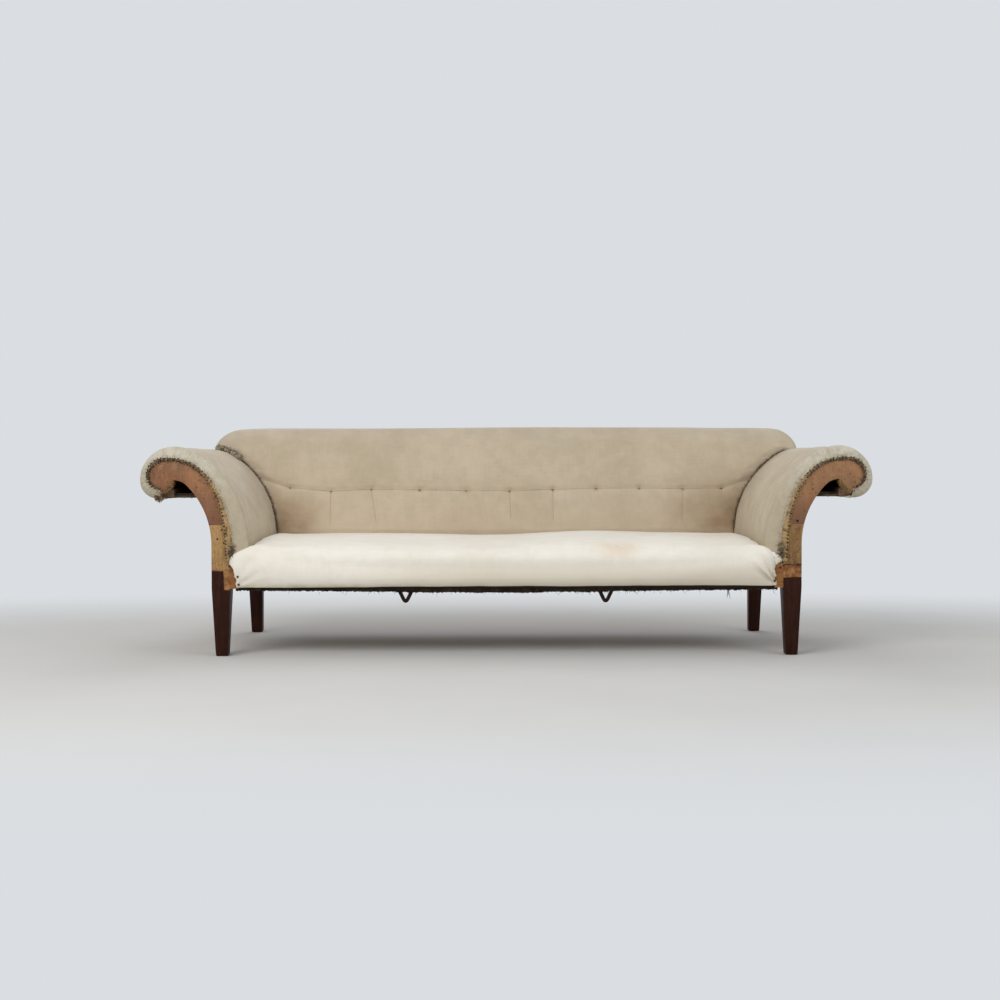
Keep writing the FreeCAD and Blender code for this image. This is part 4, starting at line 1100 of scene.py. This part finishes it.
def tacks(name, spots, rng, size=1.0):
    """Tacks at (place, outward) pairs, each a little tilted and no two quite alike in size."""
    jittered = [(place, Vector(out) + Vector([rng.uniform(-0.25, 0.25) for _ in range(3)]),
                 rng.uniform(0.75, 1.1) * size, rng.uniform(0, 6)) for place, out in spots]
    return dressed(strewn(name, tack, jittered), tack_iron, "strap_iron")


def threads(name, roots, finish, slot, rng, lengths=(0.006, 0.014), radius=0.00035):
    """Loose threads from (place, direction) pairs, each bent its own way."""
    paths = []
    for place, way in roots:
        length = rng.uniform(*lengths)
        way = Vector(way).normalized()
        bend = Vector([rng.uniform(-0.55, 0.55) for _ in range(3)])
        path = [Vector(place) + way * length * t + bend * length * t * t for t in (0, 0.35, 0.7, 1)]
        paths.append((path, [radius, radius, radius * 0.8, radius * 0.45]))
    return dressed(tubes(name, paths, 3), finish, slot)


print("a tack has", len(tack[1]), "faces")

# %% [markdown]
# The hessian is held by a close row of tacks at its inner edge and a second one against the calico. Threads
# pulled from both cloths stand out all round.

# %% Tacks and threads on the bands


def band_trimmings(side, sign):
    edge = ScrollEdge(band_low)
    total = edge.total
    rng = random.Random(31 + sign)

    def spot(at, outward, proud):
        (px, pz), _ = edge.at(at, outward)
        return Vector((sign * px, front_y - proud, pz))

    def outward_at(at):
        k = min(int(at / edge.length[1]), len(edge.out) - 1)
        return Vector((sign * edge.out[k][0], 0, edge.out[k][1]))

    # A row of tacks runs along each edge of the band.
    rows = []

    def tack_row(at, end, outward, proud, nearest, farthest):
        while at < end:
            rows.append((spot(at, outward(at) + rng.uniform(-0.001, 0.001), proud), (0, -1, 0)))
            at += rng.uniform(nearest, farthest)

    tack_row(0.015, total - 0.01, lambda at: 0.0035 - measured(at, band_in), 0.0036, 0.009, 0.014)
    tack_row(0.28, total - 0.03, lambda at: measured(at, band_out) - 0.0035, 0.0042, 0.010, 0.017)

    # Under the head the band is frayed.
    curl = arc(head_x + head_radius - under_radius, head_z - under_radius + curl_radius, curl_radius, -80, -172, 32)
    under = []
    for k, (px, pz) in enumerate(curl):
        out = Vector((sign * (px - head_x), 0, pz - head_z)).normalized()
        at = Vector((sign * px, front_y - 0.0015, pz)) - out * 0.004
        if k % 4 == 0:
            rows.append((at, (0, -1, 0)))
        for _ in range(5):
            root = at + out * rng.uniform(-0.003, 0.004)
            under.append((root, out * rng.uniform(-0.4, 0.8) + spray(rng, 0.8, -0.4)))
    threads("frayed_curl_" + side, under, loose_jute, "hessian", rng, (0.004, 0.010), 0.0005)
    tacks("band_tacks_" + side, rows, rng)

    # Threads stand out of the calico's edge and of both edges of the hessian.
    pale, straw = [], []
    for _ in range(640):
        at = rng.uniform(0.05, total)
        way = outward_at(at) * rng.uniform(-1.2, 0.8) + spray(rng, 0.5, -0.35)
        pale.append((spot(at, measured(at, band_out) + rng.uniform(-0.003, 0.002), 0.0035), way))
    for _ in range(620):
        at = rng.uniform(0.0, total)
        inner = rng.random() < 0.6
        if at > 0.30 and rng.random() < 0.6:
            continue
        outward = 0.001 - measured(at, band_in) if inner else measured(at, band_out)
        way = outward_at(at) * (-1 if inner else 1) * rng.uniform(0.2, 1) + spray(rng, 0.8, -0.3)
        straw.append((spot(at, outward + rng.uniform(-0.002, 0.002), 0.0030), way))
    threads("frayed_calico_" + side, pale, loose_cotton, "calico_arm", rng, (0.003, 0.010))
    threads("frayed_hessian_" + side, straw, loose_jute, "hessian", rng, (0.004, 0.011), 0.0004)

    # Wadding sticks out of the torn corner by the seat.
    knots = []
    for _ in range(90):
        at = rng.uniform(0.012, 0.060)
        knots.append((spot(at, rng.uniform(-0.002, 0.018), 0.004), spray(rng, 1, -0.6)))
    threads("torn_corner_" + side, knots, wadding, "hessian", rng, (0.006, 0.016), 0.0008)


for side, sign in both_sides:
    band_trimmings(side, sign)

# %% [markdown]
# Each stab stitch is a short bar of twine pulled down into the calico, with one cut end left on. A tube swept
# along a few points is enough for a piece of this size.

# %% Stab stitches
rng = random.Random(3)
inward = Vector((0, math.cos(lean), -math.sin(lean)))
upward = Vector((0, math.sin(lean), math.cos(lean)))
pad_front = 0.062
paths = []
for i, at in enumerate(tuft_x):
    place = Vector((at, back_y, seat_z)) + upward * tuft_up[i] - inward * (pad_front - 0.0075)
    half = rng.uniform(0.0035, 0.0055)
    tilt = rng.uniform(-0.3, 0.3)
    bar = [place + Vector((1, 0, tilt)) * t * half - inward * (0.0012 * (1 - t * t)) + inward * 0.004 * (abs(t) > 0.9)
           for t in (-1, -0.85, -0.4, 0, 0.4, 0.85, 1)]
    tail = [place - inward * (0.002 + 0.002 * t) + Vector((rng.uniform(-0.3, 0.3), 0, -1)) * 0.008 * t
            for t in (0, 0.4, 0.7, 1)]
    paths += [(bar, [0.0012] * len(bar)), (tail, [0.0006] * len(tail))]
dressed(tubes("stab_stitches", paths, 6), twine_jute, "twine", "back_tufts")
print(len(tuft_x), "stab stitches")

# %% [markdown]
# What is left of the black bottoming cloth hangs as a torn edge below the front rail, with one longer scrap.
# A piece of old cloth stayed on the right post, a torn flap hangs under the left scroll, and the slack edge
# of the arm's hessian shows as a lip under both. Single tacks are left where cloth was pulled off.

# %% Torn cloths
under_rail, strip_half = 0.2222, 0.886
rng = random.Random(17)
teeth = [rng.uniform(-1, 1) for _ in range(700)]


def lay_strip(u, v):
    x = (2 * u - 1) * strip_half
    drop = 0.0060 + 0.0030 * waver(x * 9, 1, 0) + 0.0020 * teeth[int(u * 699)]
    drop += 0.009 * float(bell(x + 0.02, 0.40))
    y = front_y + 0.0035 + 0.0022 * waver(x * 22, v * 2, 3) * v
    return x, y - 0.002 * v * v, under_rail - drop * v


laid_cloth("torn_bottoming", bottom_cloth, "bottoming", (2 * strip_half, 0.012), (700, 4), lay_strip,
           ["front_seat_rail"], "bottoming_strip", held="hung")
hanging = []
for _ in range(150):
    x = max(-0.87, min(0.87, rng.gauss(0.05, 0.36)))
    hanging.append(((x, front_y + 0.002, under_rail - rng.uniform(0.006, 0.012)), (rng.uniform(-1, 1), -0.2, -0.7)))
threads("bottoming_threads", hanging, bottom_cloth, "bottoming", rng, (0.004, 0.014), 0.0005)
scrap = [((0.722 + 0.001 * k, front_y + 0.002, under_rail - 0.006), (0.10 * (k - 1), -0.1, -1)) for k in range(4)]
threads("hanging_scrap", scrap, bottom_cloth, "bottoming", rng, (0.020, 0.026), 0.0009)

patch_low, patch_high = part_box("post_patch_right")
patch_wide, _, patch_tall = [high - low for low, high in zip(patch_low, patch_high)]


def lay_patch(u, v):
    x = patch_low[0] + patch_wide * (0.5 + (u - 0.5) * (0.9 + 0.12 * waver(v * 9, u, 7)))
    z = patch_low[2] + patch_tall * (v + 0.05 * teeth[int(u * 60)] * (1 - v))
    curl = 0.009 * float(bell(v, 0.10)) + 0.004 * float(bell(u - 1, 0.16))
    curl += 0.0022 * waver(u * 7, v * 16, 2)
    return x, patch_low[1] - 0.0005 - abs(curl), z


laid_cloth("torn_patch_right", patch_cloth, "hessian", (patch_wide, patch_tall), (26, 60), lay_patch,
           ["front_leg_right"], "post_patch_right")
flap_wide = 0.046


def lay_flap(u, v):
    x = -1.150 + flap_wide * u
    fall = 0.020 * (0.55 + 0.45 * math.sin(u * 5.0)) + 0.005 * teeth[int(u * 40)]
    return x, front_y + 0.004 + 0.005 * waver(u * 4, v * 2, 5), 0.5275 - fall * v - 0.004 * u


laid_cloth("torn_flap_left", band_jute, "hessian", (flap_wide, 0.02), (44, 10), lay_flap, ["arm_cover_left"],
           held="hung")


def slack_lip(side, sign):
    """The slack edge of the arm's hessian, which shows as a dark lip under the scroll."""
    lip_wide = 0.150

    def lay(u, v):
        x = 0.972 + lip_wide * u
        sag = 0.010 * math.sin(math.pi * u) + 0.003 * waver(x * 40, v * 2, sign)
        fold = 0.006 * math.sin(v * 9 + 2 * u) * math.sin(math.pi * u)
        z = 0.529 - sag * (1 - v) + 0.004 * v + 0.002 * teeth[int(u * 90)] * (1 - v)
        return sign * x, -0.349 + 0.02 * v + fold, z

    laid_cloth("slack_lip_" + side, wadding, "hessian", (lip_wide, 0.03), (90, 8), lay, ["arm_scroll_rail_" + side],
               held="hung")


for side, sign in both_sides:
    slack_lip(side, sign)
tacks_left = []
for x, z in ((-0.925, 0.455), (-0.877, 0.262), (-0.874, 0.236), (0.874, 0.245), (0.87, 0.27), (-0.93, 0.415),
             (-0.944, 0.385), (-0.922, 0.372), (0.925, 0.43), (0.95, 0.44), (-0.905, 0.296), (0.905, 0.294),
             (0.894, 0.288)):
    proud = 0.0105 if abs(x) < 0.88 else 0.0005
    tacks_left.append(((x, front_y - proud, z), (0, -1, 0)))
tacks("single_tacks", tacks_left, rng, 1.35)
print("torn cloths, with", len(hanging), "threads below the rail")

# %% [markdown]
# Dark dusty wadding shows where the back meets the arms, because the calico there was never sewn down. At the
# left a clump of it was pulled out, and lies along the top of the seam.

# %% Seam wadding
wad = turned([(0, -0.0022), (0.0026, -0.0014), (0.0035, 0.0002), (0.0022, 0.0018), (0, 0.0023)], 7)


def seam_wadding(side, sign):
    rng = random.Random(41 + sign)
    line, length = calico_line()

    def root(low, high, proud):
        px, pz = line[int(rng.uniform(low, high) / length[1])]
        y = back_y + (pz - seat_z) * math.tan(lean) - pad_front / math.cos(lean) - rng.uniform(0.0, proud)
        way = (rng.uniform(-1, 1), rng.uniform(-1, 0.2), rng.uniform(-0.6, 1))
        above = 0.35 * proud if proud > 0.015 else 0.001
        loose = 0.006 if proud > 0.015 else 0.0025
        return (sign * (px + rng.uniform(-1, 1) * loose), y, pz + above + rng.uniform(-1, 1) * loose * 1.3), way

    roots = [root(0.05, 0.42, 0.010) for _ in range(700)]
    threads("seam_wadding_" + side, roots, wadding, "hessian", rng, (0.004, 0.011), 0.0006)
    if sign < 0:
        clumps = [(*root(0.352, 0.447, 0.030), rng.uniform(0.6, 2.0), rng.uniform(0, 6)) for _ in range(260)]
        tufts = strewn("pulled_wadding_left", wad, clumps)
        put(tufts, places(tufts) + 0.0016 * np.stack([ripple(places(tufts), 210.0, k) for k in (1, 2, 3)], axis=1))
        dressed(tufts, light_wadding, "hessian")
        threads("pulled_threads_left", [(place, way) for place, way, _, _ in clumps], wadding, "hessian", rng,
                (0.005, 0.011), 0.0006)


for side, sign in both_sides:
    seam_wadding(side, sign)

# %% [markdown]
# Webbing, hessian and linings keep the outline of their CAD sheets. They're cut into short lengths, so that
# they can sag between the rails they're tacked to.

# %% Webs and linings


def cut_across(piece, axis, step):
    """Slices a mesh with level planes, so that it can bend between them."""
    low, high = [[f(c[k] for c in piece.bound_box) for k in range(3)] for f in (min, max)]
    at = low[axis] + step
    direction = [float(k == axis) for k in range(3)]
    while at < high[axis] - step / 3:
        edited(piece, ("bisect", {"plane_co": [at * d for d in direction], "plane_no": direction}))
        at += step


def sagged(node, name, finish, width, rests_on, cuts, move, along, across):
    """A copy of a CAD sheet, cut at (axis, step) and moved by move(points, box), with cloth coordinates."""
    piece = copy_of(node, name)
    for axis, step in cuts:
        cut_across(piece, axis, step)
    where = places(piece)
    put(piece, where + move(where, where.min(0), where.max(0)))
    lay_cloth(piece, where[:, along], where[:, across])
    area = sum(face.area for face in piece.data.polygons) / 2
    dressed(piece, finish, "webbing" if finish is web_jute else "hessian", node)
    round(area / width, 3)


def still(where, low, high):
    """No movement at all, for the webs that are strained tight."""
    return np.zeros_like(where)


def swelling(axis, depth, *between):
    """Moves cloth along an axis, most in the middle of each stretch between the given limits of two axes."""
    def move(where, low, high):
        share = np.ones(len(where))
        for across in between:
            at = (where[:, across] - low[across]) / (high[across] - low[across])
            share *= np.clip(np.sin(np.pi * np.clip(at, 0, 1)), 0, 1) ** 0.7
        shift = np.zeros_like(where)
        shift[:, axis] = depth * share * (1 + 0.5 * ripple(where, 4.0, 6)) + 0.0012 * share * ripple(where, 13.0, 7)
        return shift
    return move


def woven(axis, phase):
    """Lifts a web over and under the ones that cross it."""
    depth, pitch = 0.0009, 0.108

    def move(where, low, high):
        shift = np.zeros_like(where)
        row = np.round(where[:, 1 - axis] / pitch)
        shift[:, 2] = depth * np.sin(where[:, axis] * math.pi / pitch + phase + math.pi * row)
        return shift
    return move


cloths = [
    ("seat_webs_long", "woven_webs_long", web_jute, 0.25, "side_seat_rail_left", [(0, 0.036)], woven(0, 0.0), 0, 1),
    ("seat_webs_cross", "woven_webs_cross", web_jute, 0.85, "front_seat_rail", [(1, 0.036)],
     woven(1, math.pi / 2), 1, 0),
    ("back_webs_upright", "strained_webs_upright", web_jute, 0.55, "back_top_rail", [(2, 0.08)], still, 2, 0),
    ("back_webs_level", "strained_webs_level", web_jute, 0.10, "rear_leg_left", [(0, 0.12)], still, 0, 2),
    ("back_hessian", "strained_back_hessian", lining_jute, 2.1, "back_top_rail", [(0, 0.12), (2, 0.08)], still, 0, 2),
    ("spring_hessian", "strained_spring_hessian", lining_jute, 1.9, "seat_springs", [(0, 0.08)], still, 0, 1),
    ("outside_back_lining", "slack_back_lining", lining_jute, 2.1, "back_top_rail", [(0, 0.05), (2, 0.04)],
     swelling(1, 0.004, 0, 2), 0, 2)]
for side, sign in both_sides:
    cloths += [
        ("arm_webbing_" + side, "strained_arm_webs_" + side, web_jute, 0.25, "arm_top_rail_" + side,
         [(2, 0.06)], still, 2, 1),
        ("arm_hessian_" + side, "strained_arm_hessian_" + side, lining_jute, 0.6, "arm_top_rail_" + side,
         [(1, 0.06)], still, 1, 2),
        ("outside_arm_lining_" + side, "slack_arm_lining_" + side, lining_jute, 0.6, "side_seat_rail_" + side,
         [(1, 0.04), (2, 0.03)], swelling(0, sign * 0.003, 1, 2), 1, 2)]
for cloth in cloths:
    sagged(*cloth)
print(len(cloths), "webs and linings")

# %% [markdown]
# Twenty-seven hourglass springs stand on the webbing, in three rows. One is swept along its coil, wide at
# both ends and narrow at the waist, and the rest are copies. The Screw modifier would keep one radius.

# %% Springs
spring_low, spring_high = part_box("seat_springs")
wire, turns, steps = 0.0019, 6, 20
tall = spring_high[2] - spring_low[2] - 2 * wire
coil = []
for k in range(turns * steps + 1):
    share = k / (turns * steps)
    radius = 0.025 + 0.016 * abs(2 * share - 1) ** 1.3
    turn = 2 * math.pi * k / steps
    coil.append((radius * math.cos(turn), radius * math.sin(turn), share * tall))
one_spring = swept(coil, [wire] * len(coil), 7)
pitch, rows_y = 0.195, (-0.262, -0.062, 0.138)
spots = [((i * pitch, y, spring_low[2] + wire), (0, 0, 1), 1.0, 0.7 * i) for i in range(-4, 5) for y in rows_y]
dressed(strewn("coil_springs", one_spring, spots), spring_steel, "spring_wire", "seat_springs")

# %% [markdown]
# The two straps are bent from flat bar: a V with a rounded tip, and a foot turned back along the rail at
# each end. Half of the path is written down and mirrored.

# %% Straps
half_path = [(0.0235, 0.0120, 0.2192), (0.0235, 0.0040, 0.2192), (0.0222, 0.0, 0.2165), (0.0175, 0.0, 0.2080),
             (0.0112, 0.0, 0.1945), (0.0058, 0.0, 0.1835), (0.0028, 0.0, 0.1800)]
strap_path = [(-x, y, z) for x, y, z in half_path] + [(0.0, 0.0, 0.1790)] + half_path[::-1]
half_width, strap_y, hooks_x = 0.0066, front_y + 0.0110, (-0.331, 0.324)
strap_points, strap_faces = swept(strap_path, [half_width] * len(strap_path), 10)
strap_points = [(x, y * (1.0 if y > 0.0035 else 0.5), z) for x, y, z in strap_points]
hooks = strewn("worn_hooks", (strap_points, strap_faces), [((x, strap_y, 0), (0, 0, 1), 1.0, 0.0) for x in hooks_x])
modified(hooks, "SUBSURF", levels=1, render_levels=1)
dressed(hooks, strap_iron, "strap_iron", "rail_hooks")

# %% [markdown]
# Rows of tacks hold the webs, the back lining and the arm linings. They show only from below and behind.

# %% Hidden tacks
rng = random.Random(23)
rows = []
rail_under, rails_y = 0.2178, (-0.376, 0.300)
for k in range(36):
    x = -0.875 + 0.05 * k
    for y in rails_y:
        rows.append(((x + rng.uniform(-0.006, 0.006), y + rng.uniform(-0.004, 0.004), rail_under), (0, 0, -1)))
rear_low, rear_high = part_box("outside_back_lining")
behind_rail, between_legs = 0.3257, 0.89
for k in range(40):
    x = -1.0 + 2.0 * k / 39
    rows.append(((x * 1.02, rear_high[1] + 0.0003, rear_high[2] - 0.010), (0, 1, 0.1)))
    if abs(x) < between_legs:
        rows.append(((x, behind_rail, rear_low[2] + 0.012), (0, 1, 0)))
beside_rail, lining_low = 0.9618, 0.237
for _, sign in both_sides:
    for k in range(15):
        z = lining_low + rng.uniform(-0.002, 0.002)
        rows.append(((sign * beside_rail, -0.31 + 0.042 * k, z), (sign, 0, 0)))
tacks("lining_tacks", rows, rng)

# %% [markdown]
# The floor is plain and pale, and fades with distance into the backdrop. It is a stage and no part of the
# sofa.

# %% Floor
bpy.ops.object.select_all(action="DESELECT")
bpy.ops.mesh.primitive_circle_add(vertices=96, radius=9.0, fill_type="NGON", location=(0, 0, -0.0005))
floor = bpy.context.object
floor.name = "floor"
floor_finish = Finish("pale_floor", roughness=0.7)
mottle = floor_finish.noise(floor_finish.place, 2.5, 6.0, 0.6)
pale = floor_finish.blend(mottle, (0.62, 0.61, 0.59), (0.68, 0.67, 0.65))
flat_place = floor_finish.scaled(floor_finish.place, (0.55, 1.0, 0.0), move=(0, 0.3, 0))
distant = floor_finish.ranged(floor_finish.length(flat_place), 1.0, 2.6)
black = (0.0, 0.0, 0.0)
floor_finish.colour(floor_finish.blend(distant, pale, black))
floor_finish.feed("Emission Color", floor_finish.blend(distant, black, backdrop))
floor_finish.plain("Emission Strength", 1.0)
floor_finish.plain("Specular IOR Level", 0.0)
floor.data.materials.append(floor_finish.material)
